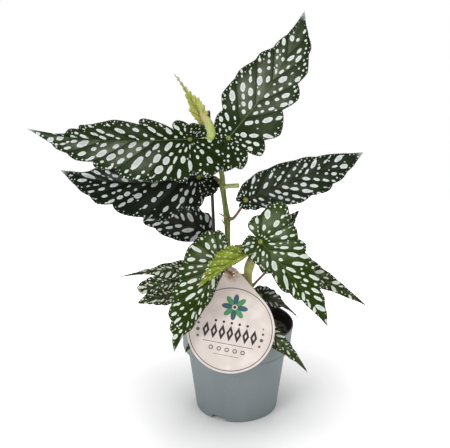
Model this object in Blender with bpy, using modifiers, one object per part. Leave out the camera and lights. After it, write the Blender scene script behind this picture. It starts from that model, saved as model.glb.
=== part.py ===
"""Potted polka dot begonia: a young angel-wing begonia in a 12 cm plastic nursery pot, with a thin stake
beside its main stem and a round card tag hung on one leaf stalk.

Metres, +Z up. The origin is the centre of the pot's base, and the plant's best side faces -Y.
Lengths in the lists below are millimetres and angles are degrees; build functions turn them into metres.
"""

import math

import bmesh
import bpy
from mathutils import Matrix, Vector

MM = 0.001
GAP = 0.3  # clearance left between pieces that touch

# Pot: a turned, thin-walled nursery pot with a deep collar and a raised floor around a central pad. A short
# slope, the shoulder, joins the collar to the body, and three notches in the foot let water out.
POT_HEIGHT = 96.0
RIM_RADIUS = 60.0
RIM_EDGE = 1.0
COLLAR_HEIGHT = 26.0
COLLAR_FOOT = POT_HEIGHT - COLLAR_HEIGHT
COLLAR_FOOT_RADIUS = 57.4
SHOULDER = COLLAR_FOOT - 3.0
SHOULDER_LIFT = 0.6  # how much higher the shoulder lies on the inside than on the outside
BODY_TOP_RADIUS = 52.0
BASE_RADIUS = 43.6
WALL = 1.3
FLOOR_RISE = 6.0
PAD_RADIUS = 22.0
PAD_SLOPE = 5.0  # how far the slope from the pad up to the raised floor runs out
PAD_SETBACK = 0.6  # how far that slope lies further in on its upper side
TURN_STEPS = 48
NOTCH_COUNT = 3
NOTCH_WIDTH = 19.0
NOTCH_TOP_SHARE = 0.75  # width of a notch's top as a share of its foot's
NOTCH_HEIGHT = 5.4
NOTCH_DEPTH = 16.0
NOTCH_UNDERCUT = 2.0
NOTCH_TURN = -115.4

# Soil: fills the pot to a little under the rim
SOIL_TOP = 82.0
SOIL_GAP = 0.5  # clearance between the root ball and the pot's wall
FOOT = SOIL_TOP + 2 * GAP  # where each stem out of the soil begins, with room for its tilt

# Tag: a round card with a short tapering neck, leaning on the rim
TAG_RADIUS = 43.7
TAG_NECK = 62.0
TAG_NECK_RADIUS = 5.5
TAG_HOLE_RADIUS = 3.2
TAG_HOLE_HEIGHT = 55.0
TAG_THICKNESS = 0.6
TAG_STEPS = 36
NECK_STEPS = 8
HOLE_STEPS = 16
TAG_SIDE = -6.2
TAG_CENTRE_HEIGHT = 112.4
TAG_LEAN = 16.7
TAG_TURN = -1.5

# Stake: a straight plastic rod
STAKE_FOOT = (-20.0, 6.0, FOOT)
STAKE_TOP = (-29.0, 8.0, 318.0)
STAKE_RADIUS = 1.75

# Blades: thickness of a leaf, and where its veins run. Each vein is its start along the midrib, its angle
# off the midrib and its reach, the first and the last as shares of the blade's length.
LEAF_THICKNESS = 1.0
BROAD_VEINS = (
    (0, 165, 0.17), (0, 140, 0.235), (0, 112, 0.235), (0, 86, 0.25), (0.01, 62, 0.275), (0.05, 47, 0.325),
    (0.17, 38, 0.34), (0.31, 31, 0.34), (0.46, 27, 0.30), (0.62, 23, 0.22), (0.78, 19, 0.12), (1, 15, 0),
)
SLIM_VEINS = (
    (0, 165, 0.10), (0, 140, 0.14), (0, 112, 0.16), (0, 86, 0.175), (0.01, 62, 0.21), (0.05, 47, 0.28),
    (0.17, 38, 0.315), (0.31, 31, 0.30), (0.46, 27, 0.25), (0.62, 23, 0.17), (0.78, 19, 0.09), (1, 15, 0),
)
LOBE_VEIN = 2.3  # the place in that list, counted from 0, where a lobe swells most, and how far it spreads
LOBE_SPREAD = 1.5
ROWS_TO_EDGE = 3
SPINE_STEPS = 48

# Leaves: where the stalk joins the blade, where the tip is, and how the blade is turned about that line,
# droops and bends along it, and folds up on its left and right. broad is the side with the larger lobe.
LEAVES = {
    "leaf_top_right": dict(
        attach=(-9, -17, 297), tip=(59, -36, 417), roll=92, droop=8, bend=28, fold=(6, 6), broad="right",
        widths=(1.05, 1.0), lobes=(0.6, 1.0),
    ),
    "leaf_upper_left": dict(
        attach=(-46, -22, 297), tip=(-192, -60, 314), roll=-72, droop=10, bend=-20, fold=(5, 52),
        broad="left", widths=(1.15, 1.1), taper=0.3,
    ),
    "leaf_middle_left": dict(
        attach=(-39, -2, 254), tip=(-171, -30, 268), roll=-70, droop=10, bend=-30, fold=(8, 50), broad="left",
        widths=(1.3, 1.0), lobes=(0.45, 0.8), taper=0.25,
    ),
    "leaf_dark_left": dict(
        attach=(-31, 18, 188.5), tip=(-124, 30, 224), roll=-60, droop=15, fold=(5, 20), broad="left",
        widths=(0.88, 1.0),
    ),
    "leaf_right": dict(
        attach=(8, -14, 234), tip=(121, -20, 284), roll=75, droop=5, fold=(12, 4), broad="right",
        widths=(0.8, 0.82), lobes=(0.8, 0.75), taper=-0.3,
    ),
    "leaf_front_right": dict(
        attach=(22, -48, 202), tip=(89, -60, 118), roll=56, droop=15, bend=-8, fold=(5, 12), broad="left",
        widths=(1.3, 1.2), lobes=(1.35, 1.0), taper=0.4,
    ),
    "leaf_front_left": dict(
        attach=(-16, -45, 180), tip=(-61, -76, 97), roll=-45, droop=15, bend=8, fold=(45, 5), broad="right",
        widths=(1.0, 1.5), lobes=(1.0, 1.0), taper=0.35,
    ),
    "leaf_young": dict(
        attach=(12, -44, 190), tip=(-37, -80, 166), roll=0, droop=30, fold=(35, 35), broad="left",
        widths=(0.6, 0.6),
    ),
    "leaf_bud": dict(
        attach=(-33, -16, 312), tip=(-60, -27, 360), roll=-90, droop=-12, bend=12, fold=(50, 50),
        broad="right", widths=(0.8, 0.8),
    ),
    "leaf_back_left_high": dict(
        attach=(-53, -10, 160), tip=(-125, 5, 143), roll=-70, droop=20, bend=10, fold=(10, 60), broad="right",
        widths=(0.8, 0.8),
    ),
    "leaf_back_left_mid": dict(
        attach=(-53, 0, 147), tip=(-103, -5, 131), roll=-60, droop=20, fold=(10, 30), broad="right",
        widths=(0.8, 0.9),
    ),
    "leaf_back_left_low": dict(
        attach=(-54, 5, 127), tip=(-107, 10, 111), roll=-50, droop=20, fold=(10, 30), broad="right",
        widths=(1.0, 1.0),
    ),
    "leaf_far_right": dict(
        attach=(48, -18, 174), tip=(132, -30, 127), roll=50, droop=20, fold=(30, 10), broad="right",
        widths=(0.6, 0.8),
    ),
    "leaf_small_dark": dict(
        attach=(24, -20, 134), tip=(63, -30, 112), roll=30, droop=60, fold=(20, 20), broad="left",
        widths=(0.9, 1.1),
    ),
    "leaf_over_rim": dict(
        attach=(26, -36, 108), tip=(71, -67, 71), roll=30, droop=30, fold=(20, 10), broad="left",
        widths=(0.7, 1.0),
    ),
    "leaf_left_rim": dict(
        attach=(-27, -40, 114), tip=(-52, -60, 88), roll=-20, droop=30, fold=(10, 10), broad="left",
        widths=(0.8, 0.8),
    ),
    "leaf_behind_right": dict(
        attach=(42, 14, 180), tip=(64, 12, 216), roll=60, droop=20, fold=(10, 10), broad="left",
        widths=(1.0, 1.0),
    ),
}

# Spacing of the points along the tubes
STEM_STEP = 6.0
STALK_STEP = 4.0
STIPULE_STEP = 3.0

# Stems: the points that each runs through with its radius there, from the soil up
STEMS = {
    "main_stem": (
        (-1, 2, FOOT, 3.4), (-1, 2, 95, 3.4), (-3, 0, 109, 3.3), (-6, -1, 138, 3.3), (-9, -2, 164, 3.1),
        (-10, -3, 177, 3.0), (-10, -4, 196, 3.0), (-10.5, -4, 211, 3.3), (-13, -5, 230, 2.7),
        (-15, -5, 245, 3.0), (-15.5, -6, 257, 2.5), (-19.5, -7, 272, 2.9), (-23.5, -9, 284, 2.6),
        (-28, -11, 294.6, 2.5),
    ),
    "side_shoot": (
        (13.5, -14, FOOT, 3.2), (13.5, -14, 92, 3.2), (13.7, -17, 106, 3.1), (13.3, -23, 130, 3.2),
        (12.6, -27, 147, 3.2), (10.5, -31, 160, 3.3), (11.7, -35, 172, 4.2), (16, -38, 184, 3.2),
    ),
    "bud_sheath": (
        (-28.5, -11.2, 295.4, 2.6), (-29.6, -12.2, 301, 4.4), (-30.4, -12.6, 308, 3.4),
        (-31, -12.8, 311.6, 1.9),
    ),
    "cut_stalk": ((-11.6, -5.6, 245.4, 2.4), (-6, -6.5, 246.2, 2.3), (1, -8, 247, 2.4)),
}

# Stalks: each one's radius and the points it runs through, from its stem towards its blade. It then comes in
# square to the blade from behind, through points at these distances from the blade's middle surface.
ARRIVAL = (6.0, 3.0, LEAF_THICKNESS / 2 + 2 * GAP)
STALKS = {
    "top_right": (1.9, ((-15.2, -6.1, 273), (-12, -5, 281), (-8.5, -6, 290))),
    "upper_left": (1.9, ((-27.6, -8.2, 284), (-34, -8, 287), (-43, -11, 293))),
    "middle_left": (1.9, ((-17.9, -3.4, 250.5), (-22, 2.2, 251), (-27, 3.4, 251), (-33, 4, 251))),
    "dark_left": (1.7, ((-12.8, -0.6, 183), (-14.5, 10, 182), (-18, 19, 182.5))),
    "right": (1.7, ((-6.8, -4.9, 211.5), (-4.6, -5.6, 212), (-1, -7, 216.5), (5, -7.5, 226))),
    "front_right": (1.9, ((16.3, -38.2, 184.8), (18, -39, 190), (20.5, -41, 196))),
    "front_left": (1.4, (
        (6.4, -31.2, 160.5), (1, -31.3, 162), (-4, -33.8, 163.2), (-4.8, -37.8, 164.3), (-5.2, -42.8, 166),
        (-11, -42, 171),
    )),
    "young": (1.3, ((11.3, -41, 180), (10.6, -42.4, 180.8), (12.3, -43, 183))),
    "back_left_high": (1.5, ((-11.8, -1, 152), (-25, 0, 155), (-42, -2, 157))),
    "back_left_mid": (1.5, ((-9.7, 0.4, 137), (-24, 12, 140), (-42, 9, 143))),
    "back_left_low": (1.5, ((-7, 1.6, 112), (-22, 14, 116), (-40, 13, 120))),
    "far_right": (1.4, ((16.4, -26.2, 148), (28.6, -21, 159.5), (40, -14, 168))),
    "small_dark": (1.2, ((17.6, -21.4, 124), (19, -19.5, 125), (21.5, -17, 127.5))),
    "over_rim": (1.3, ((19, -26, FOOT), (19, -26, 89), (22, -31, 98))),
    "left_rim": (1.3, ((-12, -22, FOOT), (-12, -22, 92), (-20, -32, 103))),
    "behind_right": (1.3, ((-6.2, -0.5, 168), (10, 12, 172), (30, 23, 174))),
}

# Dry stipules: thin scales left at the nodes of the stem
STIPULES = {
    "stipule_upper": ((-12.3, -8.2, 215, 0.8), (-17, -9, 217.5, 0.6), (-22, -8, 221, 0.25)),
    "stipule_lower": ((-12.2, -7.6, 206, 0.8), (-14.5, -8.6, 209.5, 0.8), (-15, -8.5, 213, 0.3)),
}


def remove_all_objects():
    for obj in list(bpy.data.objects):
        bpy.data.objects.remove(obj, do_unlink=True)


def new_collection(name):
    collection = bpy.data.collections.new(name)
    bpy.context.scene.collection.children.link(collection)
    return collection


def principled(name, color, roughness, metallic=0.0):
    material = bpy.data.materials.new(name)
    material.use_nodes = True
    shader = material.node_tree.nodes["Principled BSDF"]
    shader.inputs["Base Color"].default_value = (*color, 1.0)
    shader.inputs["Roughness"].default_value = roughness
    shader.inputs["Metallic"].default_value = metallic
    return material


def add_object(collection, name, data, material=None):
    obj = bpy.data.objects.new(name, data)
    collection.objects.link(obj)
    if material:
        data.materials.append(material)
    return obj


def turned(collection, name, profile, material):
    """A body turned about Z from (radius, height) points in millimetres, outer side first, top to bottom."""
    mesh = bpy.data.meshes.new(name)
    points = [(radius * MM, 0, height * MM) for radius, height in profile]
    edges = [(i, i + 1) for i in range(len(points) - 1)]
    if profile[0][0] > 0:
        edges.append((len(points) - 1, 0))
    mesh.from_pydata(points, edges, [])
    obj = add_object(collection, name, mesh, material)
    screw = obj.modifiers.new("turn", "SCREW")
    screw.steps = screw.render_steps = TURN_STEPS
    screw.use_merge_vertices = True
    screw.merge_threshold = 0.0001
    screw.use_smooth_shade = False
    return obj


def smooth_route(points, step):
    """Points about step apart on a Catmull-Rom curve through the given ones, with their radii too."""
    ends = [points[0], *points, points[-1]]
    route = []
    for a, b, c, d in zip(ends, ends[1:], ends[2:], ends[3:]):
        count = max(2, round(math.dist(b[:3], c[:3]) / step))
        for i in range(count):
            t = i / count
            weights = (-t + 2 * t**2 - t**3, 2 - 5 * t**2 + 3 * t**3, t + 4 * t**2 - 3 * t**3, t**3 - t**2)
            route.append([sum(w * v for w, v in zip(weights, values)) / 2 for values in zip(a, b, c, d)])
    route.append(list(points[-1]))
    return route


def tube(collection, name, route, material):
    """A round tube with filled ends along (x, y, z, radius) points in millimetres."""
    curve = bpy.data.curves.new(name, "CURVE")
    curve.dimensions = "3D"
    curve.bevel_depth = MM
    curve.bevel_resolution = 2
    curve.use_fill_caps = True
    spline = curve.splines.new("POLY")
    spline.points.add(len(route) - 1)
    for point, (x, y, z, radius) in zip(spline.points, route):
        point.co = (x * MM, y * MM, z * MM, 1)
        point.radius = radius
    return add_object(collection, name, curve, material)


class Blade:
    """A leaf's middle surface. A place on it is u along the midrib and w to the left, as shares of length."""

    def __init__(self, attach, tip, roll, droop, fold, broad, widths, bend=0.0, lobes=(1.0, 1.0), taper=0.0):
        self.attach = Vector(attach)
        self.droop, self.bend = math.radians(droop), math.radians(bend)
        self.fold = [math.radians(side) for side in fold]
        self.veins = {
            "left": self.side_veins(broad == "left", widths[0], lobes[0], taper),
            "right": self.side_veins(broad == "right", widths[1], lobes[1], taper),
        }
        along = (Vector(tip) - self.attach).normalized()
        level = Vector((0, 0, 1)).cross(along).normalized()
        up = along.cross(level)
        turn = math.radians(roll)
        left = level * math.cos(turn) + up * math.sin(turn)
        self.axes = Matrix((along, left, along.cross(left))).transposed()
        self.spine = [Vector((0, 0, 0))]
        for i in range(SPINE_STEPS):
            self.spine.append(self.spine[-1] + self.heading((i + 0.5) / SPINE_STEPS) / SPINE_STEPS)
        self.length = (Vector(tip) - self.attach).length / self.spine[-1].length

    @staticmethod
    def side_veins(broad, width, lobe, taper):
        veins = BROAD_VEINS if broad else SLIM_VEINS
        shaped = []
        for i, (start, angle, reach) in enumerate(veins):
            away = i - LOBE_VEIN if lobe > 1 else max(0, i - LOBE_VEIN)
            swell = 1 + (lobe - 1) * math.exp(-((away / LOBE_SPREAD) ** 2))
            shaped.append((start, math.radians(angle), reach * width * swell * (1 - taper * i / 10)))
        return shaped

    def angles(self, u):
        share = max(0, u) ** 2 - 1 / 3
        return self.droop * share, self.bend * share

    def heading(self, u):
        down, side = self.angles(u)
        return Vector((math.cos(side) * math.cos(down), math.sin(side) * math.cos(down), -math.sin(down)))

    def normal(self, u):
        down, side = self.angles(u)
        return Vector((math.sin(down) * math.cos(side), math.sin(down) * math.sin(side), math.cos(down)))

    def point(self, u, w):
        """The place (u, w), in millimetres."""
        if u <= 0:
            middle = self.heading(0) * u
        else:
            step = min(u * SPINE_STEPS, SPINE_STEPS - 1e-6)
            middle = self.spine[int(step)].lerp(self.spine[int(step) + 1], step % 1)
        normal = self.normal(u)
        left = normal.cross(self.heading(u))
        rise = self.fold[0] if w >= 0 else self.fold[1]
        place = middle + left * (w * math.cos(rise)) + normal * (abs(w) * math.sin(rise))
        return self.attach + self.length * (self.axes @ place)

    def back(self, distance):
        """A point this far behind the place where the stalk joins, square to the blade, in millimetres."""
        return self.attach - self.axes @ self.normal(0) * distance


def leaf(collection, name, blade, material):
    """Both halves of a blade as rows of faces from the midrib out to the edge, thickened by Solidify."""
    mesh = bpy.data.meshes.new(name)
    build = bmesh.new()
    for side, sign in (("left", 1), ("right", -1)):
        rows = []
        for start, angle, reach in blade.veins[side]:
            row = []
            for i in range(ROWS_TO_EDGE + 1):
                out = reach * i / ROWS_TO_EDGE
                place = blade.point(start + out * math.cos(angle), sign * out * math.sin(angle))
                row.append(build.verts.new(place * MM))
            rows.append(row)
        for inner, outer in zip(rows, rows[1:]):
            for a, b, c, d in zip(inner, outer, outer[1:], inner[1:]):
                build.faces.new((a, b, c, d) if side == "right" else (d, c, b, a))
    bmesh.ops.remove_doubles(build, verts=build.verts, dist=0.02 * MM)
    bmesh.ops.recalc_face_normals(build, faces=build.faces)
    bmesh.ops.triangulate(build, faces=build.faces)
    build.to_mesh(mesh)
    build.free()
    obj = add_object(collection, name, mesh, material)
    solid = obj.modifiers.new("thickness", "SOLIDIFY")
    solid.thickness = LEAF_THICKNESS * MM
    solid.offset = 0
    return obj


def body_radius(height):
    """The pot's outside radius at a height below its shoulder."""
    return BASE_RADIUS + (BODY_TOP_RADIUS - BASE_RADIUS) * height / SHOULDER


def pot(collection, cutters, material):
    rim_top = RIM_RADIUS - RIM_EDGE / 2
    floor_top = FLOOR_RISE + WALL
    pad_edge = PAD_RADIUS - PAD_SETBACK
    profile = [
        (rim_top, POT_HEIGHT), (RIM_RADIUS, POT_HEIGHT - RIM_EDGE), (COLLAR_FOOT_RADIUS, COLLAR_FOOT),
        (BODY_TOP_RADIUS, SHOULDER), (BASE_RADIUS, 0), (BASE_RADIUS - WALL, 0),
        (body_radius(FLOOR_RISE) - WALL, FLOOR_RISE), (PAD_RADIUS + PAD_SLOPE, FLOOR_RISE), (PAD_RADIUS, 0),
        (0, 0), (0, WALL), (pad_edge, WALL), (pad_edge + PAD_SLOPE, floor_top),
        (body_radius(floor_top) - WALL, floor_top), (BODY_TOP_RADIUS - WALL, SHOULDER + SHOULDER_LIFT),
        (COLLAR_FOOT_RADIUS - WALL, COLLAR_FOOT + SHOULDER_LIFT), (rim_top - WALL, POT_HEIGHT),
    ]
    body = turned(collection, "pot", profile, material)
    for i in range(NOTCH_COUNT):
        mesh = bpy.data.meshes.new("drain_notch")
        build = bmesh.new()
        bmesh.ops.create_cube(build, size=1)
        for vert in build.verts:
            top = vert.co.z > 0
            vert.co.x = (BASE_RADIUS + vert.co.x * NOTCH_DEPTH) * MM
            vert.co.y *= NOTCH_WIDTH * (NOTCH_TOP_SHARE if top else 1) * MM
            vert.co.z = (NOTCH_HEIGHT if top else -NOTCH_UNDERCUT) * MM
        build.to_mesh(mesh)
        build.free()
        cutter = add_object(cutters, "drain_notch", mesh)
        cutter.matrix_world = Matrix.Rotation(math.radians(NOTCH_TURN + 360 / NOTCH_COUNT * i), 4, "Z")
        cutter.hide_render = True
        cutter.display_type = "WIRE"
        cut = body.modifiers.new("drain notch", "BOOLEAN")
        cut.operation = "DIFFERENCE"
        cut.solver = "EXACT"
        cut.object = cutter


def soil(collection, material):
    """The root ball, a little smaller than the inside of the pot all round."""
    inset = WALL + SOIL_GAP
    collar_slope = (RIM_RADIUS - COLLAR_FOOT_RADIUS) / COLLAR_HEIGHT
    top_radius = COLLAR_FOOT_RADIUS + collar_slope * (SOIL_TOP - COLLAR_FOOT) - inset
    lift = SHOULDER_LIFT + SOIL_GAP
    bottom = FLOOR_RISE + WALL + GAP
    pad_edge = PAD_RADIUS - PAD_SETBACK - GAP
    profile = [
        (0, SOIL_TOP), (top_radius, SOIL_TOP), (COLLAR_FOOT_RADIUS - inset, COLLAR_FOOT + lift),
        (BODY_TOP_RADIUS - inset, SHOULDER + lift), (body_radius(bottom) - inset, bottom),
        (pad_edge + PAD_SLOPE, bottom), (pad_edge, WALL + GAP), (0, WALL + GAP),
    ]
    turned(collection, "soil", profile, material)


def arc(centre, radius, start, sweep, steps):
    """Points along an arc in the card's plane, around a centre on its upright axis; angles are in radians."""
    turns = [start + sweep * i / steps for i in range(steps + 1)]
    return [(radius * math.cos(turn), centre + radius * math.sin(turn)) for turn in turns]


def tag(collection, material):
    """The card, a flat outline: the disc's arc, the two straight edges tangent to it and the rounded neck."""
    neck_centre = TAG_NECK - TAG_NECK_RADIUS
    tangent = math.acos((TAG_RADIUS - TAG_NECK_RADIUS) / neck_centre)
    upright = math.pi / 2
    disc = arc(0, TAG_RADIUS, upright + tangent, math.tau - 2 * tangent, TAG_STEPS)
    neck = arc(neck_centre, TAG_NECK_RADIUS, upright - tangent, 2 * tangent, NECK_STEPS)
    hole = arc(TAG_HOLE_HEIGHT, TAG_HOLE_RADIUS, 0, math.tau, HOLE_STEPS)[:-1]
    curve = bpy.data.curves.new("hang_tag", "CURVE")
    curve.dimensions = "2D"
    curve.fill_mode = "BOTH"
    curve.extrude = TAG_THICKNESS / 2 * MM
    for points in (disc + neck, hole):
        spline = curve.splines.new("POLY")
        spline.points.add(len(points) - 1)
        spline.use_cyclic_u = True
        for point, (x, y) in zip(spline.points, points):
            point.co = (x * MM, y * MM, 0, 1)
    card = add_object(collection, "hang_tag", curve, material)
    lean = math.radians(TAG_LEAN)
    off_rim = RIM_RADIUS + (TAG_THICKNESS / 2 + GAP) / math.cos(lean)
    behind = (TAG_CENTRE_HEIGHT - POT_HEIGHT + RIM_EDGE) * math.tan(lean)
    place = Vector((TAG_SIDE, behind - off_rim, TAG_CENTRE_HEIGHT)) * MM
    stand = Matrix.Rotation(upright - lean, 4, "X") @ Matrix.Rotation(math.radians(TAG_TURN), 4, "Z")
    card.matrix_world = Matrix.Translation(place) @ stand


def main():
    remove_all_objects()
    parts = new_collection("potted_polka_dot_begonia")
    cutters = new_collection("cutters")
    pot(parts, cutters, principled("grey_blue_plastic", (0.16, 0.20, 0.22), 0.55))
    soil(parts, principled("potting_soil", (0.03, 0.022, 0.016), 0.95))
    tag(parts, principled("card", (0.80, 0.68, 0.62), 0.5))
    stake = [(*STAKE_FOOT, STAKE_RADIUS), (*STAKE_TOP, STAKE_RADIUS)]
    tube(parts, "support_stake", stake, principled("black_plastic", (0.01, 0.01, 0.01), 0.4))
    green_stem = principled("green_stem", (0.22, 0.32, 0.08), 0.4)
    for name, points in STEMS.items():
        tube(parts, name, smooth_route(points, STEM_STEP), green_stem)
    red_stalk = principled("red_brown_stalk", (0.20, 0.06, 0.03), 0.45)
    for name, points in STIPULES.items():
        tube(parts, name, smooth_route(points, STIPULE_STEP), red_stalk)
    green_blade = principled("spotted_green_leaf", (0.03, 0.08, 0.015), 0.35)
    for name, shape in LEAVES.items():
        blade = Blade(**shape)
        leaf(parts, name, blade, green_blade)
        place = name.removeprefix("leaf_")
        if place in STALKS:
            radius, points = STALKS[place]
            last = [tuple(blade.back(distance)) for distance in ARRIVAL]
            route = [(*point, radius) for point in (*points, *last)]
            tube(parts, "stalk_" + place, smooth_route(route, STALK_STEP), red_stalk)


main()
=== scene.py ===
"""The looks of a potted polka dot begonia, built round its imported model.

Everything is in the model's own frame: the origin is the centre of the pot's base, +Z is up, and the plant's
best side faces -Y. Lengths are millimetres and angles are degrees unless a comment says otherwise.
"""

import math
from types import SimpleNamespace

import bmesh
import bpy
import numpy as np
from mathutils import Matrix, Vector, geometry, kdtree, noise


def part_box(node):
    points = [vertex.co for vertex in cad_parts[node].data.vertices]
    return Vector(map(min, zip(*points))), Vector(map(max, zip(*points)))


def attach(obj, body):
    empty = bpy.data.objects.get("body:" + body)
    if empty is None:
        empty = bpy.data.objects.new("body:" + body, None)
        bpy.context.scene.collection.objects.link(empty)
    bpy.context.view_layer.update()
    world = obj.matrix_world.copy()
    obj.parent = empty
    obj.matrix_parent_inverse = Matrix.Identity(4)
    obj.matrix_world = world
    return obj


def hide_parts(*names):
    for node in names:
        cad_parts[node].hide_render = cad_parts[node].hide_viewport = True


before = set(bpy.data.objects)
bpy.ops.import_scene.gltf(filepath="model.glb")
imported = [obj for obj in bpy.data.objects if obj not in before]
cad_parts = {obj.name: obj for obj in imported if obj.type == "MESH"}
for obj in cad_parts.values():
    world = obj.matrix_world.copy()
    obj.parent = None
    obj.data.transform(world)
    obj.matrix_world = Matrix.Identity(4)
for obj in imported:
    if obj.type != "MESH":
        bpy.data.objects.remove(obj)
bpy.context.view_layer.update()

# --------------------------------------------------------------------------------------------------
# The pot: a thin-walled nursery pot, injection moulded in recycled plastic, matt grey-blue outside and
# black inside. It has a deep collar for stacking, a small bead where the collar ends, and three notches in
# its foot that let water out from under the raised floor.

MM = 0.001
POT_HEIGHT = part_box("pot")[1].z / MM
RIM_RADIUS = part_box("pot")[1].x / MM
COLLAR_FOOT, COLLAR_FOOT_RADIUS = POT_HEIGHT - 26.0, 57.4
SHOULDER, BODY_TOP_RADIUS = COLLAR_FOOT - 3.0, 52.0
BASE_RADIUS = 43.6
WALL = 1.3
FLOOR_RISE, PAD_RADIUS, PAD_SLOPE = 6.0, 22.0, 5.0
NOTCH_WIDTH, NOTCH_HEIGHT, NOTCH_SLANT = 19.0, 5.4, 2.4
NOTCH_TURNS = (-115.4, 4.6, 124.6)
WALL_ROUNDING, FLOOR_ROUNDING, SHARP_EDGE = 0.9, 1.2, 40
POT_STEPS, PROFILE_STEP, SAME_PLACE = 192, 2.5, 0.001


class Paint:
    """What is painted over a surface: a socket of a material's nodes, with sums on it written as Python."""

    def __init__(self, tree, socket=None):
        self.tree, self.socket = tree, socket

    def fill(self, sockets, values):
        """Gives each named socket its value, or a link where the value is painted too."""
        for name, value in values.items():
            if isinstance(value, Paint):
                self.tree.links.new(value.socket, sockets[name])
            else:
                sockets[name].default_value = (*value, 1.0) if sockets[name].type == "RGBA" else value

    def node(self, kind, settings, values, output=0):
        """One node of this kind: first its settings, then a value or a link for each socket named."""
        made = self.tree.nodes.new("ShaderNode" + kind)
        for name, value in settings.items():
            setattr(made, name, value)
        self.fill(made.inputs, values)
        return Paint(self.tree, made.outputs[output])

    def math(self, operation, *values):
        return self.node("Math", {"operation": operation}, dict(enumerate(values)))

    def __add__(self, other):
        return self.math("ADD", self, other)

    def __sub__(self, other):
        return self.math("SUBTRACT", self, other)

    def __rsub__(self, other):
        return self.math("SUBTRACT", other, self)

    def __mul__(self, other):
        return self.math("MULTIPLY", self, other)

    def __truediv__(self, other):
        return self.math("DIVIDE", self, other)

    def __pow__(self, other):
        return self.math("POWER", self, other)

    def __abs__(self):
        return self.math("ABSOLUTE", self)

    __radd__, __rmul__ = __add__, __mul__

    def rising(self, low, high):
        """0 where this is under low, 1 where it is over high, and smooth between."""
        ends = {"Value": self, "From Min": low, "From Max": high}
        return self.node("MapRange", {"interpolation_type": "SMOOTHSTEP"}, ends)

    def mix(self, off, on):
        """The colour off where this is 0, and on where it is 1."""
        return self.node("Mix", {"data_type": "RGBA"}, {0: self, 6: off, 7: on}, output=2)

    def under(self, *layers):
        """This colour with others laid over it, each where a mask of its own is above 0."""
        colour = self
        for mask, over in layers:
            colour = mask.mix(colour, over)
        return colour

    def marked(self, name):
        """A number kept at each corner of the mesh."""
        return self.node("Attribute", {"attribute_name": name}, {}, output=2)

    def place(self, stretch=(1.0, 1.0, 1.0)):
        here = self.node("TexCoord", {}, {}, output=3)
        return self.node("VectorMath", {"operation": "MULTIPLY"}, {0: here, 1: stretch})

    def cloud(self, grain, detail=2.0, stretch=(1.0, 1.0, 1.0)):
        """Soft noise from 0 to 1, whose patches are about this many millimetres across."""
        return self.node("TexNoise", {}, {
            "Vector": self.place(stretch), "Scale": 1 / (grain * MM), "Detail": detail,
        })

    def cells(self, grain, stretch=(1.0, 1.0, 1.0)):
        """How far it is to the middle of a cell, in cells this many millimetres across."""
        return self.node("TexVoronoi", {}, {"Vector": self.place(stretch), "Scale": 1 / (grain * MM)})

    def relief(self, height, depth):
        """The normal of a surface that this height, from 0 to 1, lifts by up to depth millimetres."""
        return self.node("Bump", {}, {"Height": height, "Strength": 1.0, "Distance": depth * MM})


def material(name, paint_on):
    """A Principled material. paint_on gives each socket its value, or its paint where it varies."""
    made = bpy.data.materials.new(name)
    made.use_nodes = True
    paint = Paint(made.node_tree)
    paint.fill(made.node_tree.nodes["Principled BSDF"].inputs, paint_on(paint))
    return made


def add_piece(name, points, faces, materials, smooth_under=None):
    """A mesh from points in millimetres. Edges bent more than smooth_under degrees stay sharp."""
    mesh = bpy.data.meshes.new(name)
    mesh.from_pydata((np.asarray(points) * MM).tolist(), [], faces)
    for one in materials:
        mesh.materials.append(one)
    mesh.shade_smooth()
    if smooth_under:
        mesh.set_sharp_from_angle(angle=math.radians(smooth_under))
    piece = bpy.data.objects.new(name, mesh)
    bpy.context.scene.collection.objects.link(piece)
    return piece


def keep_marks(piece, **marks):
    """Keeps a number at each point of a piece's mesh, for its material to read."""
    for name, values in marks.items():
        kept = piece.data.attributes.new(name, "FLOAT", "POINT")
        kept.data.foreach_set("value", np.asarray(values, np.float32))


def seat(piece, slot, *nodes):
    """The piece rides on the only body and stands for these solid parts, which it hides. slot is not used.
    """
    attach(piece, "root")
    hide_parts(*nodes)


def unit(vector):
    return np.asarray(vector, float) / np.linalg.norm(vector)


def rounded(corners, radius):
    """A profile with each inner corner turned into a curve that starts this far from it."""
    corners = [np.array(corner, float) for corner in corners]
    profile = [corners[0]]
    for before, corner, after in zip(corners, corners[1:], corners[2:]):
        start, end = (
            corner + unit(other - corner) * min(radius, np.linalg.norm(other - corner) / 2.2)
            for other in (before, after)
        )
        for t in (0, 0.25, 0.5, 0.75, 1):
            profile.append(start * (1 - t) ** 2 + corner * 2 * t * (1 - t) + end * t**2)
    return np.array([*profile, corners[-1]])


def filled_in(profile, spacing):
    """The same profile with points added where two of them lie further apart than spacing."""
    filled = [profile[0]]
    for start, end in zip(profile, profile[1:]):
        parts = max(1, math.ceil(np.linalg.norm(end - start) / spacing))
        filled.extend(start + (end - start) * i / parts for i in range(1, parts + 1))
    return np.array(filled)


def pot_radius(height):
    """The outside of the body below the shoulder."""
    return BASE_RADIUS + (BODY_TOP_RADIUS - BASE_RADIUS) * height / SHOULDER


def skin(rows, closed=False):
    """Faces between rows of point numbers that each run once round. A row of one number alone is a point."""
    faces = []
    for upper, lower in list(zip(rows, rows[1:])) + [(rows[-1], rows[0])] * closed:
        steps = max(len(upper), len(lower))
        for i in range(steps if len(upper) > 1 or len(lower) > 1 else 0):
            a, b = upper[i % len(upper)], upper[(i + 1) % len(upper)]
            c, d = lower[(i + 1) % len(lower)], lower[i % len(lower)]
            faces.append(tuple(dict.fromkeys((a, d, c, b))))
    return faces


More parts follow.
